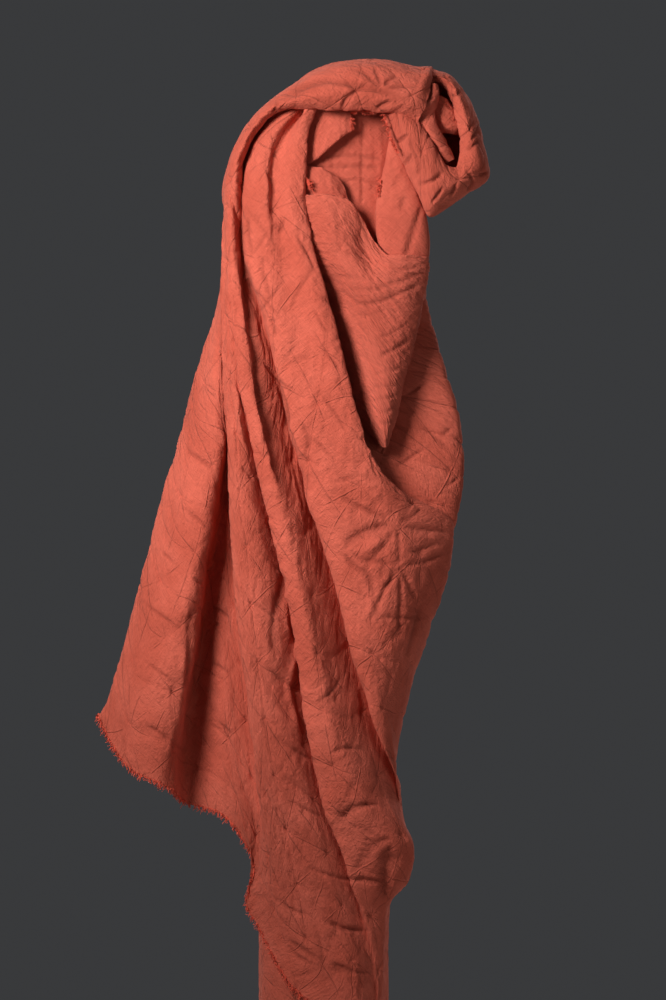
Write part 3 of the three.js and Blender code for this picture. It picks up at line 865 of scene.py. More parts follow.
@dataclass
class Hood:
    """The band over the roll's top, the curl at its right and the pocket inside the curl."""

    pivot_across: float = 15.0
    pivot_up: float = 1335.0
    sections: tuple[BandSection, ...] = (
        BandSection(216, 0, 112, 128, 62, 68),
        BandSection(198, 0, 98, 118, 66, 80),
        BandSection(180, 0, 92, 107, 66, 82),
        BandSection(160, 0, 84, 97, 72, 84),
        BandSection(140, 0, 75, 90, 86, 96),
        BandSection(120, 0, 58, 88, 96, 107),
        BandSection(100, 0, 49, 95, 100, 112),
        BandSection(80, 0, 49, 103, 101, 114),
        BandSection(60, 2, 56, 114, 102, 115),
        BandSection(44, 5, 66, 125, 103, 116),
        BandSection(33, 12, 80, 134, 104, 114),
        BandSection(24, 20, 88, 132, 100, 106),
    )
    tuck_up: float = 10.0
    tuck_back: float = 16.0
    swell: Spot = (0.35, 1.0)
    brow: Spot = (0.8, 0.86)
    crown: Spot = (1.0, 0.42)
    rear: float = -14.0
    nape_drop: float = 14.0
    nape_forward: float = -66.0
    back_forward: float = -91.0
    sunk: float = 12.0
    hem_first: float = -66.0
    hem_last: float = 88.0
    hem_up: float = 1306.0
    hem_corner_from: float = 36.0
    hem_corner_in: float = 34.0
    curl: tuple[CurlSection, ...] = (
        CurlSection((100, 1412), (109, 1428), 70, 84),
        CurlSection((118, 1412), (128, 1421), 76, 98),
        CurlSection((128, 1396), (143, 1402), 80, 102),
        CurlSection((133, 1378), (153, 1379), 84, 104),
        CurlSection((137, 1360), (160, 1354), 88, 96),
        CurlSection((138, 1344), (166, 1320), 90, 84),
        CurlSection((134, 1328), (144, 1302), 96, 60),
        CurlSection((127, 1328), (126, 1289), 100, 46),
        CurlSection((119, 1336), (107, 1280), 103, 32),
        CurlSection((112, 1348), (96, 1301), 104, 20),
        CurlSection((105, 1358), (81, 1330), 103, 14),
        CurlSection((99, 1369), (70, 1354), 100, 12),
        CurlSection((86, 1382), (62, 1381), 96, 10),
    )
    curl_swell: float = 8.0
    curl_lip_out: float = 5.0
    curl_lip_back: float = 18.0
    curl_edge_back: float = 14.0
    curl_shoulder_in: float = 3.0
    curl_shoulder_rear: float = 0.5
    curl_rear_in: float = 16.0
    curl_deep_in: float = 6.0
    curl_deep_spread: float = 0.6
    curl_deep_rear: float = 1.45
    pocket_centre: Spot = (124.0, 1366.0)
    pocket_mouth: tuple[Spot, ...] = (
        (115, 1419), (129, 1402), (141, 1376), (146, 1348), (138, 1321), (120, 1326), (102, 1356),
        (102, 1392),
    )
    pocket_rings: tuple[Spot, ...] = ((1.0, 76), (0.9, 62), (0.6, 44), (0.02, 34))
    inner_forward: float = 95.0
    inner: tuple[tuple[Spot, Spot], ...] = (
        ((108, 1412), (115, 1410)), ((104, 1400), (117, 1400)), ((92, 1386), (114, 1388)),
        ((88, 1374), (112, 1379)), ((94, 1366), (116, 1367)), ((103, 1351), (122, 1357)),
        ((112, 1341), (127, 1347)), ((122, 1331), (131, 1336)),
    )
    inner_swell: tuple[float, ...] = (0, 3, 5, 1, 4, 6, 5, 0)
    inner_left_back: float = 6.0
    inner_right_back: float = 2.0
    inner_turn_in: float = 2.0
    inner_turn_back: float = 22.0
    tongue: tuple[tuple[Place, ...], ...] = (
        ((106, 1402, 80), (116, 1400, 82), (125, 1396, 80), (124, 1396, 64)),
        ((108, 1388, 80), (120, 1386, 84), (132, 1382, 80), (130, 1382, 64)),
        ((110, 1374, 80), (123, 1371, 84), (137, 1368, 78), (134, 1368, 62)),
        ((113, 1364, 76), (125, 1363, 76), (135, 1362, 70), (133, 1362, 60)),
    )
    spacing: float = 1.5

    def hem_point(self, share: float, sunk: float) -> Array:
        """Finds a point of the band's hem at the back, which rounds in towards the right corner.

        Args:
            share: how far along the hem it is.
            sunk: how much further in the hem is there.

        Returns:
            The point.
        """
        across = self.hem_first + (self.hem_last - self.hem_first) * share
        past = max(across - self.hem_corner_from, 0) / (self.hem_last - self.hem_corner_from)
        return place(across, self.back_forward + self.hem_corner_in * past**2 + sunk, self.hem_up)

    def band_row(self, index: int) -> Array:
        """Sets out one section of the band.

        Args:
            index: which section it is.

        Returns:
            Its points, from the tucked-in front edge over the crown to the hem.
        """
        section = self.sections[index]
        sunk = self.sunk if index == 0 else 0.0

        def at(radius: float, forward: float, raked: float) -> Array:
            """Returns the point at a radius of the section."""
            turn = math.radians(section.turn + raked * section.rake)
            across = self.pivot_across + radius * math.cos(turn)
            return place(across, forward, self.pivot_up + radius * math.sin(turn))

        depth = section.crown - section.edge
        points = [
            at(section.edge + self.tuck_up, section.edge_forward - self.tuck_back, 0),
            at(section.edge, section.edge_forward, 0),
        ]
        for (down, forward), drop in ((self.swell, 0.0), (self.brow, 0.0), (self.crown, sunk / 2)):
            points.append(at(section.edge + depth * down - drop, section.brow_forward * forward, down))
        points.append(at(section.crown - sunk, self.rear, 1))
        nape = at(section.crown - self.nape_drop - sunk, self.nape_forward + sunk, 1)
        low = self.hem_point(index / (len(self.sections) - 1), sunk)
        back = (nape + low) / 2
        back[1] = max(-self.back_forward - sunk, low[1])
        return np.stack([*points, nape, back, low])

    def curl_row(self, section: CurlSection) -> Array:
        """Sets out one section of the curl.

        Args:
            section: its sizes.

        Returns:
            Its points, from the pocket's mouth over the strip to its deep back.
        """
        inner = place(section.inner[0], section.forward, section.inner[1])
        outer = place(section.outer[0], section.forward - self.curl_edge_back, section.outer[1])
        outward = unit((outer - inner) * np.array([1, 0, 1]))
        swell = (inner + outer) / 2
        swell[1] = -(section.forward + self.curl_swell)

        def behind(point: Array, inward: float, back: float) -> Array:
            """Returns a point further in and further back."""
            return point - outward * inward + np.array([0, back, 0])

        deep = self.curl_deep_in + self.curl_deep_spread * section.rear
        return np.stack([
            behind(inner, -self.curl_lip_out, self.curl_lip_back),
            inner,
            swell,
            outer,
            behind(outer, self.curl_shoulder_in, section.rear * self.curl_shoulder_rear),
            behind(outer, self.curl_rear_in, section.rear),
            behind(outer, deep, self.curl_deep_rear * section.rear),
        ])

    def patches(self) -> list[Patch]:
        """Returns the band, the curl, the pocket, the folded-in layer and the tongue."""
        outer = [self.band_patch(), self.curl_patch()]
        return [*outer, self.pocket_patch(), self.inner_patch(), self.tongue_patch()]

    def band_patch(self) -> Patch:
        """Returns the band's patch."""
        control = np.stack([self.band_row(index) for index in range(len(self.sections))])
        return Patch("hood_band", Layer.BAND, fine_grid(control, self.spacing), seed=23, origin=(12.0, 30.0))

    def curl_patch(self) -> Patch:
        """Returns the curl's patch."""
        control = np.stack([self.curl_row(section) for section in self.curl])
        return Patch("hood_curl", Layer.CURL, fine_grid(control, self.spacing), seed=37, origin=(20.0, 8.0))

    def pocket_patch(self) -> Patch:
        """Returns the pocket's patch, closed at its bottom."""
        middle = place(self.pocket_centre[0], 0, self.pocket_centre[1])
        mouth = np.stack([place(across, 0, up) for across, up in self.pocket_mouth])
        control = np.stack([
            middle + (mouth - middle) * reach + place(0, forward, 0) for reach, forward in self.pocket_rings
        ])
        return Patch("hood_pocket", Layer.CURL, fine_grid(control, self.spacing, closed=True), seed=41)

    def tongue_patch(self) -> Patch:
        """Returns the short fold deeper in the pocket."""
        points = fine_grid(places(self.tongue), self.spacing)
        return Patch("hood_tongue", Layer.CURL, points, seed=47, origin=(19.0, 11.0))

    def inner_patch(self) -> Patch:
        """Returns the folded-in layer that shows between the lapel and the pocket."""
        rows = []
        for (left, right), swell in zip(self.inner, self.inner_swell):
            middle = ((left[0] + right[0]) / 2, (left[1] + right[1]) / 2)
            turned = (right[0] - self.inner_turn_in, right[1])
            spots = (left, middle, right, turned)
            backs = (self.inner_left_back, -swell, self.inner_right_back, self.inner_turn_back)
            rows.append(np.stack([
                place(across, self.inner_forward - back, up) for (across, up), back in zip(spots, backs)
            ]))
        points = fine_grid(np.stack(rows), self.spacing)
        return Patch("hood_inner", Layer.CURL, points, seed=43, origin=(9.0, 31.0))


@dataclass
class Opening:
    """The layers inside the hood's opening. Their rows hold places across, up and forward."""

    swag: tuple[tuple[Place, ...], ...] = (
        ((-30, 1297, 80), (-14, 1297, 82), (10, 1296, 84), (27, 1289, 82), (42, 1267, 82), (55, 1246, 84),
         (65, 1239, 86), (86, 1237, 86), (103, 1236, 76), (96, 1232, 52)),
        ((-30, 1301, 88), (-15, 1301, 91), (10, 1301, 94), (29, 1294, 91), (44, 1271, 87), (57, 1250, 91),
         (66, 1242, 98), (86, 1241, 97), (106, 1239, 82), (100, 1236, 54)),
        ((-28, 1282, 88), (-13, 1282, 93), (10, 1278, 99), (28, 1268, 97), (43, 1250, 92), (57, 1238, 98),
         (67, 1233, 103), (86, 1232, 100), (107, 1230, 84), (101, 1228, 54)),
        ((-24, 1260, 84), (-9, 1260, 93), (12, 1254, 101), (29, 1246, 102), (44, 1234, 99), (57, 1225, 103),
         (68, 1221, 105), (86, 1221, 101), (105, 1218, 84), (99, 1217, 56)),
        ((-18, 1242, 80), (-2, 1243, 92), (16, 1236, 102), (32, 1227, 105), (46, 1218, 107), (58, 1211, 108),
         (69, 1208, 106), (86, 1208, 101), (103, 1205, 84), (97, 1204, 58)),
        ((-6, 1222, 78), (8, 1224, 91), (24, 1216, 102), (36, 1209, 106), (48, 1202, 108), (59, 1197, 108),
         (70, 1195, 106), (85, 1194, 101), (99, 1190, 86), (93, 1190, 60)),
        ((6, 1200, 78), (19, 1202, 90), (31, 1195, 100), (42, 1188, 105), (52, 1182, 107), (61, 1178, 107),
         (71, 1175, 106), (83, 1173, 101), (95, 1170, 88), (89, 1170, 62)),
        ((14, 1168, 78), (26, 1168, 90), (38, 1162, 100), (47, 1157, 105), (55, 1153, 108), (63, 1150, 108),
         (71, 1147, 106), (80, 1145, 101), (89, 1142, 90), (83, 1142, 66)),
        ((24, 1130, 80), (36, 1130, 91), (45, 1126, 99), (52, 1123, 104), (58, 1121, 107), (65, 1120, 108),
         (70, 1119, 106), (76, 1119, 102), (82, 1118, 92), (76, 1118, 68)),
        ((32, 1098, 82), (42, 1098, 92), (50, 1096, 99), (56, 1095, 104), (61, 1094, 106), (66, 1093, 106),
         (70, 1093, 104), (74, 1093, 100), (78, 1092, 92), (72, 1092, 70)),
        ((44, 1070, 84), (51, 1070, 92), (56, 1070, 98), (60, 1070, 101), (63, 1070, 103), (66, 1070, 103),
         (68, 1070, 101), (70, 1071, 98), (72, 1071, 92), (67, 1071, 74)),
        ((58, 1052, 88), (61, 1052, 94), (62, 1052, 96), (63, 1052, 98), (64, 1052, 99), (65, 1052, 98),
         (65, 1052, 96), (66, 1053, 94), (66, 1053, 90), (63, 1053, 80)),
    )
    wing: tuple[tuple[Place, ...], ...] = (
        ((70, 1358, 66), (69, 1358, 84), (74, 1358, 86), (78, 1358, 86), (76, 1358, 60)),
        ((68, 1342, 64), (66, 1342, 84), (73, 1342, 88), (79, 1341, 88), (77, 1340, 60)),
        ((65, 1326, 62), (63, 1326, 84), (74, 1326, 89), (85, 1325, 88), (81, 1325, 56)),
        ((61, 1308, 60), (59, 1308, 84), (76, 1308, 89), (94, 1306, 86), (88, 1306, 52)),
        ((59, 1290, 60), (56, 1290, 84), (78, 1289, 90), (102, 1286, 84), (96, 1286, 50)),
        ((59, 1276, 60), (55, 1276, 84), (80, 1272, 90), (106, 1266, 82), (100, 1266, 50)),
        ((60, 1262, 62), (56, 1261, 85), (81, 1256, 91), (107, 1250, 82), (101, 1250, 50)),
        ((63, 1248, 66), (61, 1247, 86), (82, 1242, 91), (106, 1238, 80), (100, 1238, 50)),
        ((68, 1236, 66), (67, 1235, 84), (84, 1231, 88), (104, 1228, 76), (98, 1228, 50)),
    )
    fold: tuple[tuple[Place, ...], ...] = (
        ((-24, 1325, 74), (-12, 1324, 74), (0, 1323, 75), (10, 1317, 74), (17, 1311, 72)),
        ((-24, 1330, 80), (-12, 1330, 81), (0, 1329, 83), (11, 1323, 82), (19, 1317, 79)),
        ((-24, 1316, 82), (-12, 1316, 85), (1, 1316, 87), (13, 1312, 86), (25, 1305, 80)),
        ((-24, 1304, 82), (-12, 1304, 85), (2, 1304, 88), (16, 1301, 87), (29, 1292, 81)),
        ((-24, 1292, 80), (-12, 1292, 83), (3, 1290, 84), (18, 1286, 84), (34, 1278, 78)),
    )
    backing: tuple[tuple[Place, ...], ...] = (
        ((-26, 1400, 64), (-8, 1400, 70), (16, 1400, 72), (42, 1400, 70), (66, 1400, 66), (78, 1400, 56)),
        ((-26, 1344, 64), (-8, 1344, 70), (16, 1344, 72), (42, 1344, 71), (64, 1344, 68), (76, 1344, 58)),
        ((-26, 1296, 64), (-8, 1296, 69), (16, 1296, 71), (42, 1296, 71), (60, 1296, 69), (76, 1296, 60)),
        ((-26, 1252, 64), (-8, 1252, 69), (16, 1252, 70), (42, 1252, 71), (60, 1250, 74), (76, 1250, 66)),
        ((-26, 1200, 64), (-8, 1200, 68), (16, 1200, 69), (42, 1200, 68), (60, 1200, 66), (76, 1200, 58)),
    )
    flap_lines: tuple[tuple[float, float, float, float], ...] = (
        (-18, 1392, 1332, 74), (-8, 1392, 1334, 80), (6, 1393, 1346, 84), (20, 1394, 1358, 85),
        (30, 1395, 1364, 82),
    )
    flap_in: float = 8.0
    origin_step: Spot = (7.0, 3.0)
    rim: float = 2.4
    rim_drop: float = 0.2
    rim_out: float = 0.3
    flap_rise: float = 4.0
    spacing: float = 1.8

    def lofted(self, name: str, layer: Layer, rows: tuple[tuple[Place, ...], ...], seed: int) -> Patch:
        """Makes one layer of the opening.

        Args:
            name: the name of its piece.
            layer: the stretch of cloth that it is.
            rows: its rows of places across, up and forward.
            seed: what its unevenness starts from.

        Returns:
            Its patch.
        """
        origin = (self.origin_step[0] * seed, self.origin_step[1] * seed)
        return Patch(name, layer, fine_grid(places(rows), self.spacing), seed=seed, origin=origin)

    def patches(self) -> list[Patch]:
        """Returns the swag, the panel at its right, the fold above it, the backing and the short flap."""
        flap = [
            tuple(
                (across, top + (bottom - top) * share, forward)
                for across, top, bottom, forward in self.flap_lines
            )
            for share in (0, 0.5, 1)
        ]
        flap.append(tuple(
            (across, bottom + self.flap_rise, forward - self.flap_in)
            for across, _, bottom, forward in self.flap_lines
        ))
        rim = self.swag[1]
        behind = tuple((across, up - self.rim_drop, forward - self.rim) for across, up, forward in rim)
        below = tuple((across, up - self.rim, forward + self.rim_out) for across, up, forward in rim)
        swag = (self.swag[0], behind, rim, below, *self.swag[2:])
        return [
            self.lofted("opening_swag", Layer.SWAG, swag, 53),
            self.lofted("opening_panel", Layer.WING, self.wing, 57),
            self.lofted("opening_fold", Layer.FLAP, self.fold, 59),
            self.lofted("opening_backing", Layer.BACKING, self.backing, 67),
            self.lofted("opening_flap", Layer.FLAP, tuple(flap), 61),
        ]


@dataclass
class Roll:
    """The wound roll, with the step of its outer turn's edge and its spiral ends."""

    HEIGHT: ClassVar[float] = 1386.0

    radius: float = 64.0
    swell: float = 0.6
    slow_wave: Spot = (2.0, 5.0)
    quick_wave: Spot = (3.0, -8.0)
    edge_step: float = 1.6
    lip: float = 4.0
    edge_degrees: float = 200.0
    sides: int = 120
    levels: int = 360
    spiral_turns: int = 14
    ring_steps: int = 5
    spiral_groove: float = 1.2
    groove_sharpness: int = 4
    groove_start: float = 40.0
    heart: float = 0.01
    core: float = 20.0

    def wall_patch(self) -> Patch:
        """Returns the wall's patch, which starts and ends at the outer turn's edge."""
        start = math.radians(self.edge_degrees)
        turn = start + np.linspace(0, 2 * math.pi, self.sides + 1)
        share = np.linspace(0, 1, self.levels + 1)
        grid_turn, grid_share = np.meshgrid(turn, share)
        past = np.linspace(0, 1, self.sides + 1)[None, :]
        slow, quick = (
            np.sin(waves * grid_turn + grid_share * drift)
            for waves, drift in (self.slow_wave, self.quick_wave)
        )
        radius = self.radius - self.edge_step * past + self.swell * (slow + quick) / 2
        up = (1 - grid_share) * self.HEIGHT
        points = np.stack([radius * np.cos(grid_turn), radius * np.sin(grid_turn), up], axis=-1)
        inward = 1 - self.lip / self.radius
        points = np.concatenate([points[:, :1] * np.array([inward, inward, 1]), points], axis=1)
        return Patch("roll_wall", Layer.ROLL, points, seed=71)

    def end_patch(self, name: str, rim: Array, seed: int) -> Patch:
        """Makes an end of the roll, with the grooves between its turns.

        Args:
            name: the name of its piece.
            rim: the wall's points at that end.
            seed: what its unevenness starts from.

        Returns:
            Its patch, from the rim to the middle.
        """
        rings = self.spiral_turns * self.ring_steps
        share = np.linspace(1.0, self.heart, rings + 1)[:, None]
        turn = np.arctan2(rim[:, 1], rim[:, 0])[None, :] / (2 * math.pi)
        wave = np.cos(2 * math.pi * (self.spiral_turns * share - turn))
        facing = 1.0 if rim[0, 2] > self.HEIGHT / 2 else -1.0
        groove = np.clip(wave, 0, 1) ** self.groove_sharpness
        sunk = self.spiral_groove * groove * np.clip((1 - share) * self.groove_start, 0, 1)
        across, back, up = rim.T[:, None, :]
        points = np.stack([across * share, back * share, up - facing * sunk], axis=-1)
        return Patch(name, Layer.ROLL, points, seed=seed)


@dataclass(frozen=True)
class FrayRun:
    """One frayed stretch: a path of points, and the way in which its threads stick out there."""

    points: Array
    ways: Array
    length: float
    spacing: float = 0.8


@dataclass
class Fray:
    """The loose threads along the cut edges, gathered in tufts."""

    radius: float = 0.5
    sides: int = 3
    joints: int = 5
    tuft: float = 5.5
    gather: float = 0.7
    stray: float = 0.5
    curl: float = 1.2
    rooted: float = 1.6
    keep_out: float = 65.6
    fewest: int = 4
    level: Place = (1.0, 1.0, 0.7)
    lengths: Spot = (0.45, 1.15)
    bends: Spot = (3.0, 9.0)
    straight_share: float = 3.0
    thickness: Spot = (1.1, 0.5)
    sideways: Place = (0.31, 0.53, 0.79)
    hem_length: float = 4.6
    hem_spacing: float = 0.75
    hem_sag: float = 0.35
    hem_rows: int = 7
    seed: int = 83

    def hem_run(self, rows: Array) -> FrayRun:
        """Returns the run along the last of the cloth's rows."""
        ways = unit(rows[-1] - rows[-1 - self.hem_rows]) - np.array([0, 0, self.hem_sag])
        return FrayRun(rows[-1], ways, self.hem_length, self.hem_spacing)

    def strands(self, run: FrayRun, rng: np.random.Generator) -> Array:
        """Draws the threads of one run.

        Args:
            run: the frayed stretch.
            rng: where the draws come from.

        Returns:
            The threads, shaped (threads, joints, 3).
        """
        length = travelled(run.points)
        count = max(self.fewest, int(length[-1] / run.spacing))
        spots = np.sort(rng.uniform(0, length[-1], count))
        middles = np.round(spots / self.tuft) * self.tuft + rng.uniform(-1, 1, count)

        def along(values: Array, places: Array) -> Array:
            """Returns values of the path at places along it."""
            return np.stack([np.interp(places, length, values[:, axis]) for axis in range(3)], axis=-1)

        root, way = along(run.points, spots), along(run.ways, spots)
        way = unit(way + self.stray * rng.normal(0, 1, (count, 3)) * np.array(self.level))
        reach = run.length * rng.uniform(*self.lengths, count)[:, None]
        tip = root + way * reach
        tip += self.gather * (along(run.points, middles) - root)
        share = np.linspace(0, 1, self.joints)[None, :, None]
        path = (root - way * self.rooted)[:, None] * (1 - share) + tip[:, None] * share
        bends = rng.normal(0, 1, (count, 1, 3)) * np.sin(share * rng.uniform(*self.bends, (count, 1, 1)))
        path = path + self.curl * bends * np.minimum(share * self.straight_share, 1)
        return clear_of_roll(path, self.keep_out)

    def build(self, runs: list[FrayRun], material: bpy.types.Material) -> bpy.types.Object:
        """Makes all the threads as one mesh of thin tubes.

        Args:
            runs: the frayed stretches.
            material: the threads' material.

        Returns:
            The new object.
        """
        rng = np.random.default_rng(self.seed)
        paths = np.concatenate([self.strands(run, rng) for run in runs])
        tangent = np.gradient(paths, axis=1)
        side = unit(np.cross(tangent, np.array(self.sideways)))
        other = unit(np.cross(tangent, side))
        turn = np.arange(self.sides) * 2 * math.pi / self.sides
        taper = self.radius * np.linspace(*self.thickness, self.joints)[None, :, None, None]
        ring = side[:, :, None] * np.cos(turn)[:, None] + other[:, :, None] * np.sin(turn)[:, None]
        points = (paths[:, :, None] + taper * ring).reshape(-1, 3)
        count = len(paths)
        index = np.arange(count * self.joints * self.sides).reshape(count, self.joints, self.sides)
        beside = np.roll(index, -1, axis=2)
        faces = np.stack([index[:, :-1], beside[:, :-1], beside[:, 1:], index[:, 1:]], axis=-1).reshape(-1, 4)
        return mesh_object("fray", points, faces, points[:, [0, 2]], material)


@dataclass(frozen=True)
class ClothFinish:
    """The matte woven cotton: its colour, its unevenness, its thread and its sunken lines, with painted shade
    in the lines and in the troughs.
    """

    name: str
    deep: Colour
    light: Colour
    roughness: float = 0.95
    specular: float = 0.06
    sheen: float = 0.05
    sheen_roughness: float = 0.6
    sheen_tint: Colour = (1.0, 0.62, 0.5)
    quilted: float = 1.0
    # How much darker the colour is painted in the troughs, as painted shade.
    painted_crease_shade: float = 0.27
    mottle: Place = (14.0, 4.0, 0.55)
    mottle_range: Spot = (0.35, 0.65)
    weave_turn: float = 45.0
    warp: Place = (900.0, 80.0, 1.0)
    weft: Place = (70.0, 1000.0, 1.0)
    thread_range: Spot = (0.75, 1.25)
    thread_tone: Spot = (0.90, 1.07)
    thread_height: float = 0.6
    # How much darker the sunken lines are painted, as painted shade.
    line_painted_shade: float = 0.13
    line_height: float = -0.8
    line_width: float = 0.0011
    column_patches: float = 16.0
    slant_patches: float = 21.0
    patch_shift: Place = (0.3, 0.7, 0.0)
    patch_range: Spot = (0.43, 0.62)
    crumples: tuple[Place, ...] = ((48.0, 0.8, 0.5), (120.0, 1.1, 0.55), (300.0, 1.0, 0.36))
    crumple_height: float = 4.0
    bump_distance: float = 0.001

    def build(self) -> bpy.types.Material:
        """Makes the material and returns it."""
        material = bpy.data.materials.new(self.name)
        material.use_nodes = True
        tree = material.node_tree
        shader = tree.nodes["Principled BSDF"]
        plain = {
            "Roughness": self.roughness,
            "Specular IOR Level": self.specular,
            "Sheen Weight": self.sheen,
            "Sheen Roughness": self.sheen_roughness,
            "Sheen Tint": (*self.sheen_tint, 1.0),
        }
        for socket, value in plain.items():
            shader.inputs[socket].default_value = value
        nodes = Wiring(tree)
        cloth_map = tree.nodes.new("ShaderNodeUVMap")
        cloth_map.uv_map = CLOTH_UV
        cloth = cloth_map.outputs["UV"]
        lines = self.quilt_lines(nodes, cloth)
        mottle = nodes.noise(cloth, *self.mottle)
        turned = nodes.mapped(cloth, "Rotation", (0.0, 0.0, math.radians(self.weave_turn)))
        warp, weft = (
            nodes.noise(nodes.mapped(turned, "Scale", scale), 1.0, 2.0, 0.5)
            for scale in (self.warp, self.weft)
        )
        threads = nodes.math("ADD", warp, weft)
        painted_crease_shade = tree.nodes.new("ShaderNodeAttribute")
        painted_crease_shade.attribute_name = PAINTED_CREASE_SHADE_NAME
        tone = nodes.mix_colour(nodes.ranged(mottle, *self.mottle_range), self.deep, self.light)
        tone = nodes.tint(tone, nodes.ranged(threads, *self.thread_range), *self.thread_tone)
        # Painted shade: the colour is darkened along the sunken quilt lines.
        tone = nodes.tint(tone, nodes.math("SUBTRACT", 1.0, lines), 1.0 - self.line_painted_shade * self.quilted, 1.0)
        # Painted shade: the colour is darkened in the troughs by the mask kept with each mesh.
        tone = nodes.tint(tone, painted_crease_shade.outputs["Fac"], 1.0, 1.0 - self.painted_crease_shade)
        tree.links.new(tone, shader.inputs["Base Color"])
        height = nodes.math("MULTIPLY", lines, self.line_height * self.quilted)
        for scale, stretch, amount in self.crumples:
            wrinkles = nodes.noise(nodes.mapped(cloth, "Scale", (1.0, stretch, 1.0)), scale, 2.0, 0.5)
            ridged = nodes.math("ABSOLUTE", nodes.math("SUBTRACT", wrinkles, 0.5))
            raised = nodes.math("MULTIPLY", ridged, self.crumple_height * amount)
            height = nodes.math("SUBTRACT", height, raised)
        height = nodes.math("ADD", height, nodes.math("MULTIPLY", threads, self.thread_height))
        bump = tree.nodes.new("ShaderNodeBump")
        bump.inputs["Distance"].default_value = self.bump_distance
        bump.inputs["Strength"].default_value = 1.0
        tree.links.new(height, bump.inputs["Height"])
        tree.links.new(bump.outputs["Normal"], shader.inputs["Normal"])
        return material

    def quilt_lines(self, nodes: "Wiring", cloth: Socket) -> Socket:
        """Wires the sharp bottoms of the quilt lines.

        Args:
            nodes: the wiring helper.
            cloth: the cloth coordinates.

        Returns:
            A socket that is 1 on a line and 0 away from it.
        """
        column, step = Quilting.column * MM, Quilting.step * MM
        u, v = nodes.split(cloth)
        total = nodes.line(nodes.math("DIVIDE", u, column), column, self.line_width)
        patchy = nodes.noise(cloth, self.column_patches, 2.0, 0.5)
        total = nodes.math("MULTIPLY", total, nodes.ranged(patchy, *self.patch_range))
        for index, (rise, _) in enumerate(Quilting.families):
            slope = rise * step / column
            along = nodes.math("SUBTRACT", v, nodes.math("MULTIPLY", u, slope))
            along = nodes.math("DIVIDE", along, step)
            away = nodes.line(along, step / math.hypot(1, slope), self.line_width)
            moved = nodes.mapped(cloth, "Location", tuple(shift * index for shift in self.patch_shift))
            patchy = nodes.noise(moved, self.slant_patches, 2.0, 0.5)
            away = nodes.math("MULTIPLY", away, nodes.ranged(patchy, *self.patch_range))
            total = nodes.math("MAXIMUM", total, away)
        return total


class Wiring:
    """Small helper that adds shader nodes to a tree and joins them."""

    def __init__(self, tree: bpy.types.NodeTree) -> None:
        """Keeps the tree that nodes are added to."""
        self.tree = tree

    def feed(self, socket: Socket, value: object) -> None:
        """Links a socket to another, or sets its value."""
        if isinstance(value, Socket):
            self.tree.links.new(value, socket)
        else:
            socket.default_value = value

    def math(self, operation: str, first: object, second: object = 0.0) -> Socket:
        """Adds a math node.

        Args:
            operation: what it does.
            first: a socket or a number.
            second: another.

        Returns:
            Its result.
        """
        node = self.tree.nodes.new("ShaderNodeMath")
        node.operation = operation
        self.feed(node.inputs[0], first)
        self.feed(node.inputs[1], second)
        return node.outputs[0]

    def split(self, vector: Socket) -> tuple[Socket, Socket]:
        """Returns the first two coordinates of a vector."""
        node = self.tree.nodes.new("ShaderNodeSeparateXYZ")
        self.tree.links.new(vector, node.inputs[0])
        return node.outputs[0], node.outputs[1]

    def mapped(self, vector: Socket, name: str, value: Place) -> Socket:
        """Moves, turns or scales a vector.

        Args:
            vector: the vector.
            name: the mapping node's socket that holds the change.
            value: the change.

        Returns:
            The changed vector.
        """
        node = self.tree.nodes.new("ShaderNodeMapping")
        self.tree.links.new(vector, node.inputs["Vector"])
        node.inputs[name].default_value = value
        return node.outputs[0]

    def noise(self, vector: Socket, scale: float, detail: float, roughness: float) -> Socket:
        """Adds a noise texture.

        Args:
            vector: where it is read.
            scale: how fine it is.
            detail: how many finer scales it has.
            roughness: how strong these are.

        Returns:
            Its value.
        """
        node = self.tree.nodes.new("ShaderNodeTexNoise")
        self.tree.links.new(vector, node.inputs["Vector"])
        node.inputs["Scale"].default_value = scale
        node.inputs["Detail"].default_value = detail
        node.inputs["Roughness"].default_value = roughness
        return node.outputs["Fac"]

    def ranged(self, value: Socket, low: float, high: float) -> Socket:
        """Maps a value smoothly to 0 to 1.

        Args:
            value: the value.
            low: where the result leaves 0.
            high: where it reaches 1.

        Returns:
            The result.
        """
        node = self.tree.nodes.new("ShaderNodeMapRange")
        node.interpolation_type = "SMOOTHSTEP"
        self.tree.links.new(value, node.inputs["Value"])
        node.inputs["From Min"].default_value = low
        node.inputs["From Max"].default_value = high
        return node.outputs["Result"]

    def line(self, cells: Socket, spacing: float, width: float) -> Socket:
        """Wires evenly spaced lines.

        Args:
            cells: the coordinate, with a line at each whole number.
            spacing: how far apart the lines are.
            width: how far from a line it fades out.

        Returns:
            1 on the lines and 0 further off.
        """
        part = self.math("FRACT", self.math("ADD", cells, 0.5))
        away = self.math("ABSOLUTE", self.math("SUBTRACT", part, 0.5))
        return self.math("SUBTRACT", 1.0, self.ranged(self.math("MULTIPLY", away, spacing), 0.0, width))

    def mix_colour(self, factor: Socket, first: Colour, second: Colour) -> Socket:
        """Mixes two colours.

        Args:
            factor: 0 for the first and 1 for the second.
            first: a colour.
            second: another.

        Returns:
            The mix.
        """
        node = self.tree.nodes.new("ShaderNodeMix")
        node.data_type = "RGBA"
        self.tree.links.new(factor, node.inputs[0])
        node.inputs[6].default_value = (*first, 1.0)
        node.inputs[7].default_value = (*second, 1.0)
        return node.outputs[2]

    def tint(self, colour: Socket, factor: Socket, low: float, high: float) -> Socket:
        """Multiplies a colour.

        Args:
            colour: the colour.
            factor: a value from 0 to 1.
            low: what the colour is multiplied by at 0.
            high: the same at 1.

        Returns:
            The new colour.
        """
        scale = self.math("ADD", self.math("MULTIPLY", factor, high - low), low)
        node = self.tree.nodes.new("ShaderNodeVectorMath")
        node.operation = "SCALE"
        self.tree.links.new(colour, node.inputs[0])
        self.tree.links.new(scale, node.inputs["Scale"])
        return node.outputs[0]


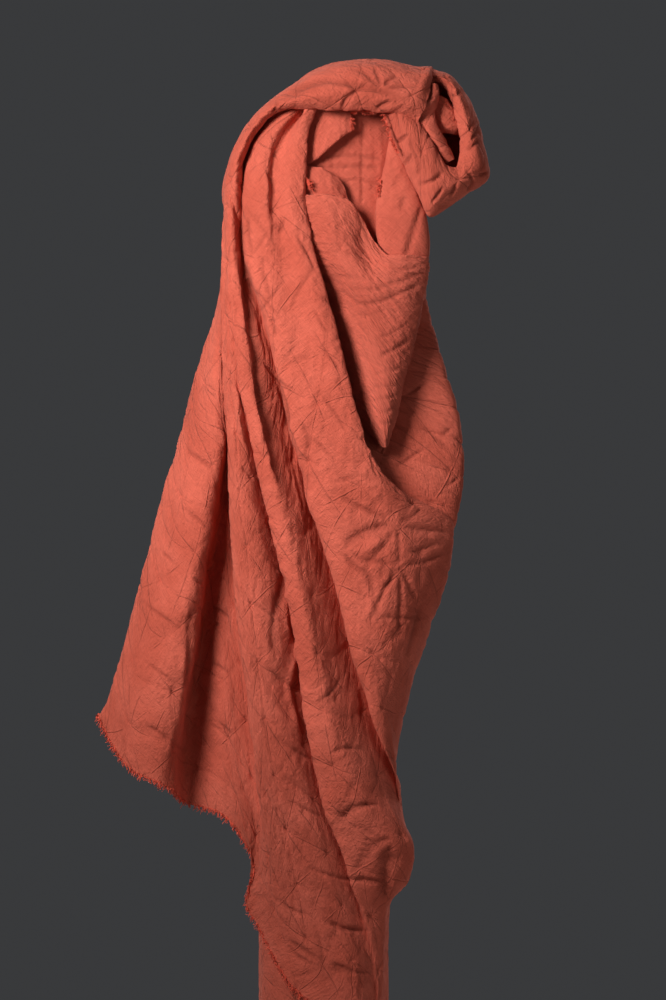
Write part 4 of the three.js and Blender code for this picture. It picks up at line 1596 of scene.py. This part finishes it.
@dataclass(frozen=True)
class PlainFinish:
    """A plain matte finish for the floor and the loose threads, with a faint speckle."""

    name: str
    colour: Colour
    roughness: float = 0.9
    speckle: Place = (9.0, 3.0, 0.5)
    speckle_tone: float = 0.97

    def build(self) -> bpy.types.Material:
        """Makes the material and returns it."""
        material = bpy.data.materials.new(self.name)
        material.use_nodes = True
        tree = material.node_tree
        shader = tree.nodes["Principled BSDF"]
        nodes = Wiring(tree)
        spot = tree.nodes.new("ShaderNodeTexCoord").outputs["Object"]
        low = tuple(self.speckle_tone * value for value in self.colour)
        tone = nodes.mix_colour(nodes.noise(spot, *self.speckle), low, self.colour)
        tree.links.new(tone, shader.inputs["Base Color"])
        shader.inputs["Roughness"].default_value = self.roughness
        return material


@dataclass(frozen=True)
class Lamp:
    """One soft light: its place and width in metres, its watts, and its beam in degrees or 0 for a panel."""

    name: str
    spot: Place
    size: float
    power: float
    beam: float = 0.0

    def build(self, aim: Place) -> None:
        """Adds the light.

        Args:
            aim: the place that it is turned to, in metres.
        """
        data = bpy.data.lights.new(self.name, "SPOT" if self.beam else "AREA")
        data.energy = self.power
        if self.beam:
            data.spot_size = math.radians(self.beam)
            data.spot_blend = 1.0
            data.shadow_soft_size = self.size / 2
        else:
            data.size = self.size
        made = bpy.data.objects.new(self.name, data)
        made.location = self.spot
        made.rotation_euler = (Vector(aim) - Vector(self.spot)).to_track_quat("-Z", "Y").to_euler()
        bpy.context.scene.collection.objects.link(made)


@dataclass
class Studio:
    """The camera, the plain soft lights and the pale floor."""

    DISTANCE: ClassVar[float] = 6000.0
    MIDDLE: ClassVar[Spot] = (12.0, 1000.0)

    lens: float = 215.6
    sensor: float = 36.0
    floor_side: float = 7000.0
    floor_colour: Colour = (0.78, 0.77, 0.75)
    backdrop: Colour = (0.17, 0.175, 0.185)
    backdrop_strength: float = 0.24
    aim: Place = (0.0, 0.0, 1.12)
    lamps: tuple[Lamp, ...] = (
        Lamp("key", (-0.86, -1.2, 1.72), 0.6, 156.0, 57.0),
        Lamp("fill", (2.3, -2.5, 1.3), 2.0, 11.0),
        Lamp("back_right", (1.0, 2.7, 1.9), 1.6, 34.0),
        Lamp("back_left", (-1.3, 2.4, 1.5), 1.6, 22.0),
        Lamp("overhead", (0.3, 1.6, 3.0), 2.4, 30.0),
    )

    @classmethod
    def seen(cls, points: Array) -> tuple[Array, Array]:
        """Finds where the camera sees points.

        Args:
            points: the points, in millimetres.

        Returns:
            Their places across and up, in millimetres at the roll's middle.
        """
        nearer = cls.DISTANCE / (cls.DISTANCE + points[..., 1])
        across = cls.MIDDLE[0] + (points[..., 0] - cls.MIDDLE[0]) * nearer
        return across, cls.MIDDLE[1] + (points[..., 2] - cls.MIDDLE[1]) * nearer

    def camera(self) -> None:
        """Sets the camera at the photograph's angle."""
        data = bpy.data.cameras.new("camera")
        data.lens = self.lens
        data.sensor_width = self.sensor
        made = bpy.data.objects.new("camera", data)
        bpy.context.scene.collection.objects.link(made)
        target = Vector((self.MIDDLE[0], 0.0, self.MIDDLE[1])) * MM
        made.location = target + Vector((0.0, -self.DISTANCE * MM, 0.0))
        made.rotation_euler = (target - made.location).to_track_quat("-Z", "Y").to_euler()
        bpy.context.scene.camera = made

    def build(self) -> None:
        """Adds the lights, the backdrop's even colour and the floor."""
        for lamp in self.lamps:
            lamp.build(self.aim)
        world = bpy.data.worlds.new("studio")
        world.use_nodes = True
        background = world.node_tree.nodes["Background"]
        background.inputs[0].default_value = (*self.backdrop, 1.0)
        background.inputs[1].default_value = self.backdrop_strength
        bpy.context.scene.world = world
        bpy.context.scene.view_settings.view_transform = "Standard"
        corners = np.array([[-1, -1, 0], [1, -1, 0], [1, 1, 0], [-1, 1, 0]]) * self.floor_side / 2
        finish = PlainFinish("pale_floor", self.floor_colour).build()
        floor = mesh_object("floor", corners, np.array([[0, 1, 2, 3]]), corners[:, :2], finish)


LOOSE_FINISH = ClothFinish("loose_jacquard", (0.46, 0.083, 0.050), (0.55, 0.109, 0.068))
PLAIN_FINISH = ClothFinish(
    "plain_side", (0.47, 0.087, 0.054), (0.53, 0.104, 0.065),
    quilted=0.0, crumples=((70.0, 2.2, 0.35), (180.0, 1.6, 0.3), (340.0, 1.0, 0.12)),
)
SWAG_FINISH = ClothFinish(
    "swag_jacquard", (0.46, 0.085, 0.052), (0.54, 0.107, 0.067),
    quilted=0.25, crumples=((44.0, 2.8, 0.75), (130.0, 2.4, 0.6), (320.0, 1.4, 0.3)),
)
ROLL_FINISH = ClothFinish("rolled_jacquard", (0.44, 0.082, 0.050), (0.51, 0.100, 0.063))
# The threads are orange-red like the cloth, and lighter than it as painted light, so that tufts lying in
# shade still show bright.
THREAD_PAINTED_LIGHT_FINISH = PlainFinish("loose_threads_painted_light", (0.72, 0.095, 0.05), 0.95)

SLACK_CRINKLE = Crinkle(wide=0.6, fine=1.0, stretch=0.35)
ROLLED_CRINKLE = Crinkle(wide=0.1, wide_size=60.0, fine=0.15, fine_size=12.0)

QUILTED: dict[Layer, float] = {Layer.WING: 0.0, Layer.BACKING: 0.0, Layer.FLAP: 0.0, Layer.SWAG: 0.15}

SLANTS: tuple[tuple[Spot, ...], ...] = (
    # the flare, from the top down
    ((-141, 1055), (-101, 1025)), ((-143, 995), (-106, 968)), ((-161, 950), (-146, 935)),
    ((-131, 925), (-116, 912)), ((-181, 900), (-141, 870)), ((-181, 842), (-138, 810)),
    ((-184, 782), (-146, 755), (-131, 745)),
    # the plane beside it
    ((-111, 896), (-89, 880)), ((-111, 840), (-91, 825)), ((-106, 780), (-86, 763)),
    # the apron
    ((-81, 1035), (-66, 1020)), ((-71, 900), (-31, 872)), ((-59, 835), (-21, 805)), ((-51, 765), (2, 732)),
    ((-36, 700), (9, 679)), ((-28, 639), (2, 626), (30, 620), (68, 616)), ((-5, 582), (21, 571), (58, 569)),
    # its lowest star
    ((1, 533), (-21, 541), (-35, 557)), ((1, 533), (18, 528), (58, 527)), ((-5, 582), (1, 533), (2, 505)),
    ((1, 533), (13, 567), (22, 585)), ((1, 533), (-22, 524), (-38, 524)),
    ((-5, 582), (-30, 590), (-48, 604)),
    # the long fold's stars
    ((12, 679), (40, 695), (71, 693)), ((12, 679), (27, 706), (40, 726)), ((31, 625), (49, 667), (54, 690)),
    ((12, 679), (44, 670), (70, 655)), ((2, 742), (24, 752), (50, 748)), ((-12, 790), (12, 810), (24, 832)),
    # the shoulder, whose quilting shows as a net
    ((-79, 1297), (-59, 1272), (-46, 1254)), ((-51, 1272), (-71, 1242)),
    ((-71, 1215), (-46, 1188), (-33, 1175)), ((-33, 1226), (-52, 1200), (-70, 1180)),
    ((-66, 1150), (-43, 1120), (-21, 1100)), ((-20, 1160), (-42, 1135)),
    ((-31, 1272), (-13, 1248), (-4, 1225)), ((1, 1152), (22, 1128)), ((-10, 1195), (4, 1172), (14, 1164)),
    ((6, 1017), (37, 1023)), ((21, 1001), (72, 977)), ((-18, 1070), (8, 1046), (22, 1030)),
    ((30, 1062), (12, 1090), (-4, 1112)), ((-2, 1236), (-22, 1212), (-30, 1190)),
    # the layer inside the right edge
    ((67, 1028), (109, 1055)), ((81, 1102), (109, 1120)), ((119, 1062), (134, 1075)),
    ((122, 1010), (141, 1025)), ((92, 1082), (118, 1060), (136, 1040)),
)

CREASES: dict[Layer, tuple[Crease, ...]] = {
    Layer.WRAP: (
        # small folds along the flare's valley
        Crease(3, 3, 4, ((-134, 870), (-138, 840), (-141, 810), (-146, 780), (-153, 750), (-156, 730))),
        Crease(-2.5, 3, 3, ((-127, 905), (-132, 870), (-134, 830), (-139, 795)), 0.3),
        # small folds along the long valley
        Crease(4, 3, 3, ((-21, 868), (-28, 838), (-33, 810), (-27, 780), (-21, 755))),
        Crease(-3, 4, 3, ((-36, 930), (-43, 900), (-48, 870), (-44, 840))),
        Crease(3, 3, 3, ((-30, 915), (-36, 895), (-34, 872), (-30, 856))),
        # the shoulder's own valley, which runs down beside the deep one
        Crease(-6, 4, 4, (
            (-77, 1245), (-75, 1225), (-72, 1195), (-69, 1170), (-64, 1145), (-61, 1115), (-57, 1090),
            (-52, 1070), (-49, 1045),
        ), 0.2),
        Crease(-3, 3, 3, ((-65, 1150), (-62, 1120), (-58, 1095), (-53, 1075), (-46, 1040), (-36, 1000))),
        Crease(-2.2, 1.7, 1.7, ((-74, 1287), (-74, 1270), (-71, 1255), (-69, 1243))),
        Crease(-2.6, 1.7, 1.7, ((-60, 1250), (-59, 1230), (-53, 1210), (-51, 1198))),
        Crease(-1.9, 1.7, 1.7, ((-53, 1182), (-47, 1170), (-46, 1162))),
        Crease(-3, 2, 2, ((-44, 1118), (-36, 1095), (-33, 1068))),
        Crease(2.2, 2.7, 2.7, ((-31, 1078), (-26, 1068), (-20, 1052), (-16, 1040))),
        Crease(-2.2, 1.7, 1.7, ((-20, 1080), (-14, 1062), (-12, 1045))),
        Crease(-2.2, 1.7, 1.7, ((-38, 1284), (-39, 1276), (-42, 1266))),
        Crease(-1.5, 1.7, 1.7, ((-52, 1352), (-56, 1335), (-52, 1325), (-50, 1315))),
        # the star in the slack cloth below the opening
        Crease(-2, 1.9, 1.9, ((14, 1008), (39, 994), (74, 978))),
        Crease(-3.8, 3.8, 3, ((76, 975), (49, 970), (31, 960), (22, 949))),
        Crease(-2.2, 2, 2, ((76, 974), (64, 955), (51, 940), (44, 926))),
        Crease(-2.3, 2, 2, ((77, 974), (78, 955), (78, 934))),
        Crease(-2.2, 2, 2, ((78, 976), (94, 985), (104, 996))),
        Crease(-1.9, 2, 2, ((79, 974), (109, 970), (134, 968))),
        Crease(-2.6, 2, 2, ((78, 932), (67, 915), (59, 900), (53, 882))),
        Crease(-2.3, 2, 2, ((79, 932), (80, 900), (78, 860))),
        Crease(-2.6, 2, 2, ((80, 933), (91, 910), (99, 895))),
        Crease(-1.7, 1.7, 1.7, ((81, 934), (104, 938), (127, 948))),
        Crease(-1.4, 1.7, 1.7, ((82, 944), (104, 952), (129, 960))),
        Crease(-2.2, 2.2, 2.2, ((76, 934), (59, 938), (41, 940), (27, 952))),
        Crease(-1.6, 1.8, 1.8, ((54, 884), (79, 882), (111, 882))),
        Crease(-3, 2.5, 2.5, ((22, 950), (31, 935), (49, 922), (52, 900))),
        Crease(2.6, 3.4, 3.4, ((64, 962), (50, 952), (40, 944))),
        Crease(1.1, 2.8, 2.8, ((90, 962), (110, 962), (128, 956))),
        Crease(2.2, 2.5, 2.5, ((47, 915), (50, 895), (46, 878))),
        Crease(-2, 2, 2, ((104, 900), (97, 880), (91, 860), (86, 840))),
        Crease(-1.9, 2, 2, ((98, 1002), (90, 996), (86, 986))),
        *(Crease(-2.0, 1.5, 1.5, line, 0.4) for line in SLANTS),
        # the round lobe at the right and the stars above it
        Crease(-2.6, 2.4, 2.4, ((32, 625), (54, 655), (74, 662))),
        Crease(-3, 2.6, 2.6, ((32, 622), (50, 618), (67, 616))),
        Crease(-6, 5, 5, ((74, 650), (66, 632), (65, 615), (67, 598))),
        Crease(-2.4, 2.4, 2.4, ((74, 657), (60, 640), (51, 622))),
        Crease(-2.4, 2.4, 2.4, ((34, 700), (20, 680), (14, 676))),
        Crease(-2.2, 2.2, 2.2, ((16, 682), (40, 692), (58, 697))),
        Crease(-2.2, 2.2, 2.2, ((4, 580), (24, 571), (44, 570))),
        Crease(-2.2, 2.2, 2.2, ((9, 535), (20, 532), (33, 528))),
        Crease(-2.2, 2.2, 2.2, ((-36, 562), (-16, 548), (0, 538))),
    ),
    Layer.BAND: (
        Crease(-2.6, 3, 3, (
            (-45, 1398), (-21, 1412), (4, 1420), (29, 1417), (57, 1411), (74, 1405), (90, 1400),
        )),
        Crease(-2.9, 1.8, 1.8, ((19, 1389), (26, 1402), (41, 1413), (50, 1415))),
        Crease(-3.1, 1.8, 1.8, ((60, 1413), (47, 1425), (38, 1432))),
        Crease(-2.6, 1.7, 1.7, ((60, 1413), (57, 1426), (52, 1433))),
        Crease(-2.9, 1.7, 1.7, ((62, 1414), (69, 1421), (78, 1427))),
        Crease(-2, 1.7, 1.7, ((64, 1413), (82, 1415), (100, 1415))),
        Crease(-2.4, 1.8, 1.8, ((54, 1391), (64, 1397), (72, 1399))),
        Crease(-2.2, 1.5, 1.5, ((-48, 1388), (-44, 1396), (-42, 1400))),
    ),
    Layer.CURL: (
        Crease(-3.7, 1.4, 1.4, ((71, 1356), (80, 1361), (90, 1369)), 0.4),
        Crease(-3.3, 1.4, 1.4, ((81, 1333), (88, 1342), (92, 1347)), 0.4),
        Crease(-3.5, 1.4, 1.5, ((95, 1314), (111, 1320), (128, 1332)), 0.4),
        Crease(-2.6, 1.4, 1.4, ((89, 1367), (91, 1352), (96, 1340), (97, 1326), (93, 1320))),
        Crease(-2.6, 1.5, 1.8, ((110, 1296), (118, 1306), (123, 1314))),
        Crease(-2.6, 1.5, 1.8, ((129, 1303), (134, 1310), (136, 1318))),
        Crease(-2.4, 1.4, 1.5, ((146, 1308), (152, 1316), (150, 1326), (143, 1330))),
        Crease(-2.6, 1.4, 1.4, ((150, 1360), (156, 1368), (158, 1378))),
        Crease(-2.4, 1.4, 1.4, ((128, 1404), (136, 1406), (140, 1410))),
        Crease(-2.2, 1.2, 1.2, ((126, 1420), (131, 1414), (135, 1412))),
        Crease(-2.4, 1.4, 1.4, ((158, 1325), (164, 1327), (168, 1328))),
        Crease(-2.2, 1.4, 1.4, ((145, 1350), (152, 1354), (160, 1362))),
    ),
    Layer.SWAG: (
        Crease(-1.6, 1.7, 2.3, ((26, 1196), (50, 1197), (64, 1200), (80, 1207), (94, 1213), (106, 1222))),
        Crease(-1.1, 1.7, 2.1, ((24, 1209), (60, 1213), (92, 1222), (106, 1228))),
        Crease(-0.8, 1.5, 1.7, ((30, 1186), (44, 1185), (60, 1188))),
        Crease(-0.8, 1.5, 1.7, ((19, 1228), (34, 1222), (50, 1224))),
        Crease(-0.7, 1.5, 1.5, ((1, 1247), (12, 1249), (24, 1248))),
        Crease(-1.6, 1.7, 2.5, ((56, 1142), (66, 1147), (80, 1154), (92, 1164))),
        Crease(-0.9, 1.7, 1.9, ((50, 1160), (64, 1164), (76, 1170), (92, 1180))),
        Crease(1.1, 2.5, 2.5, ((36, 1184), (50, 1167), (64, 1150))),
        Crease(-0.7, 1.3, 1.5, ((50, 1124), (62, 1128), (74, 1130), (84, 1136))),
        Crease(-0.8, 1.3, 1.5, ((46, 1112), (60, 1114), (72, 1114), (82, 1119))),
        Crease(-0.7, 1.3, 1.5, ((50, 1102), (60, 1101), (72, 1103), (80, 1108))),
        Crease(-0.8, 1.3, 1.5, ((52, 1089), (60, 1088), (70, 1090), (78, 1095))),
        Crease(-0.7, 1.3, 1.5, ((56, 1077), (64, 1076), (74, 1080))),
        Crease(-1.2, 1.7, 2.1, ((64, 1234), (80, 1231), (94, 1233), (106, 1236))),
        Crease(-0.8, 1.5, 1.5, ((66, 1222), (80, 1220), (98, 1226))),
        Crease(-1, 1.5, 1.5, ((4, 1223), (22, 1224), (40, 1226))),
        Crease(-1, 1.5, 1.5, ((20, 1248), (34, 1247), (46, 1238))),
        Crease(0.7, 1.5, 1.5, ((-13, 1299), (2, 1299), (16, 1298)), 0.05),
    ),
    Layer.WING: (
        Crease(-3.6, 1.3, 2.6, ((101, 1296), (98, 1288), (94, 1276), (90, 1262), (84, 1243)), 0.15),
        Crease(-1.4, 1.8, 1.8, ((86, 1305), (81, 1297), (79, 1288))),
    ),
    Layer.BACKING: (
        Crease(-1.4, 1.8, 1.8, ((-6, 1332), (30, 1334), (60, 1333)), 0.1),
        Crease(-1.6, 1.8, 1.8, ((2, 1342), (30, 1345), (62, 1341)), 0.1),
        Crease(-1.2, 1.6, 1.6, ((8, 1318), (34, 1321), (60, 1316)), 0.1),
        Crease(-1.2, 1.4, 1.4, ((42, 1386), (41, 1340), (41, 1290)), 0.1),
    ),
}

FRAYED: tuple[tuple[tuple[Place, ...], Place, float, float], ...] = (
    # the flap's right edge and its lower corner
    (((31, 1394, 84), (31, 1380, 84), (31, 1364, 83)), (1.0, 0.1, -0.3), 3.0, 0.8),
    # the tuft under the band
    (((30, 1388, 92), (42, 1387, 94), (54, 1386, 94)), (0.2, -0.1, -1.0), 7.0, 0.25),
    # the corner between the fold and the opening's edge
    (((-14, 1318, 90), (-11, 1308, 90)), (0.8, 0.3, -0.4), 6.0, 0.3),
    # the turned-in edge at the opening's right
    (((61, 1380, 99), (69, 1356, 102), (76, 1341, 103)), (-1.0, 0.0, -0.2), 2.4, 0.7),
    (((58, 1316, 86), (57, 1300, 86)), (-0.9, 0.1, 0.1), 2.6, 0.5),
)


def ride(piece: bpy.types.Object, slot: str, *nodes: str) -> bpy.types.Object:
    """Lets a piece ride on the part's one body.

    Args:
        piece: the piece.
        slot: a slot name, which is not used.
        nodes: the CAD nodes that it takes the place of.

    Returns:
        The same piece.
    """
    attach(piece, BODY)
    if nodes:
        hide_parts(*nodes)
    triangles = sum(len(face.vertices) - 2 for face in piece.data.polygons)
    LOG.info("%s: %d triangles", piece.name, triangles)
    return piece


def main() -> None:
    """Builds the loose end, the roll, the threads and the studio."""
    logging.basicConfig(level=logging.INFO, format="%(message)s")
    studio = Studio()
    studio.camera()
    quilting, crinkle = Quilting(), Crinkle()
    wrap, hood, opening, roll, fray = Wrap(), Hood(), Opening(), Roll(), Fray()
    loose, rolled, plain, swag = (
        finish.build() for finish in (LOOSE_FINISH, ROLL_FINISH, PLAIN_FINISH, SWAG_FINISH)
    )
    finishes = {Layer.SWAG: swag, Layer.WING: plain, Layer.BACKING: plain, Layer.FLAP: plain}
    drape, ends = wrap.patch()
    drape.work(quilting, crinkle, wrap.keep_out)
    names = ("drape_right", "drape_left", "drape_back")
    patches = [drape.columns(first, last, name) for first, last, name in zip(ends, ends[1:], names)]
    for patch in [*hood.patches(), *opening.patches()]:
        patch.work(quilting, SLACK_CRINKLE if patch.layer is Layer.SWAG else crinkle, wrap.keep_out)
        patches.append(patch)
    for index, patch in enumerate(patches):
        made = patch.build(finishes.get(patch.layer, loose))
        piece = ride(made, "loose_cloth", *(["draped_end"] if index == 0 else []))
        LOG.info("%s", patch.measure())
    wall = roll.wall_patch()
    wall.work(quilting, ROLLED_CRINKLE, roll.core)
    ride(wall.build(rolled), "roll_cloth", "cloth_roll")
    for name, rim, seed in (("roll_top", wall.points[0], 73), ("roll_foot", wall.points[-1], 79)):
        ride(roll.end_patch(name, rim, seed).build(rolled), "roll_cloth")
    runs = [fray.hem_run(drape.points)]
    for points, way, length, spacing in FRAYED:
        path = places((points,))[0]
        runs.append(FrayRun(path, np.tile(place(*way), (len(path), 1)), length, spacing))
    ride(fray.build(runs, THREAD_PAINTED_LIGHT_FINISH.build()), "loose_cloth")
    studio.build()


if __name__ == "__main__":
    main()
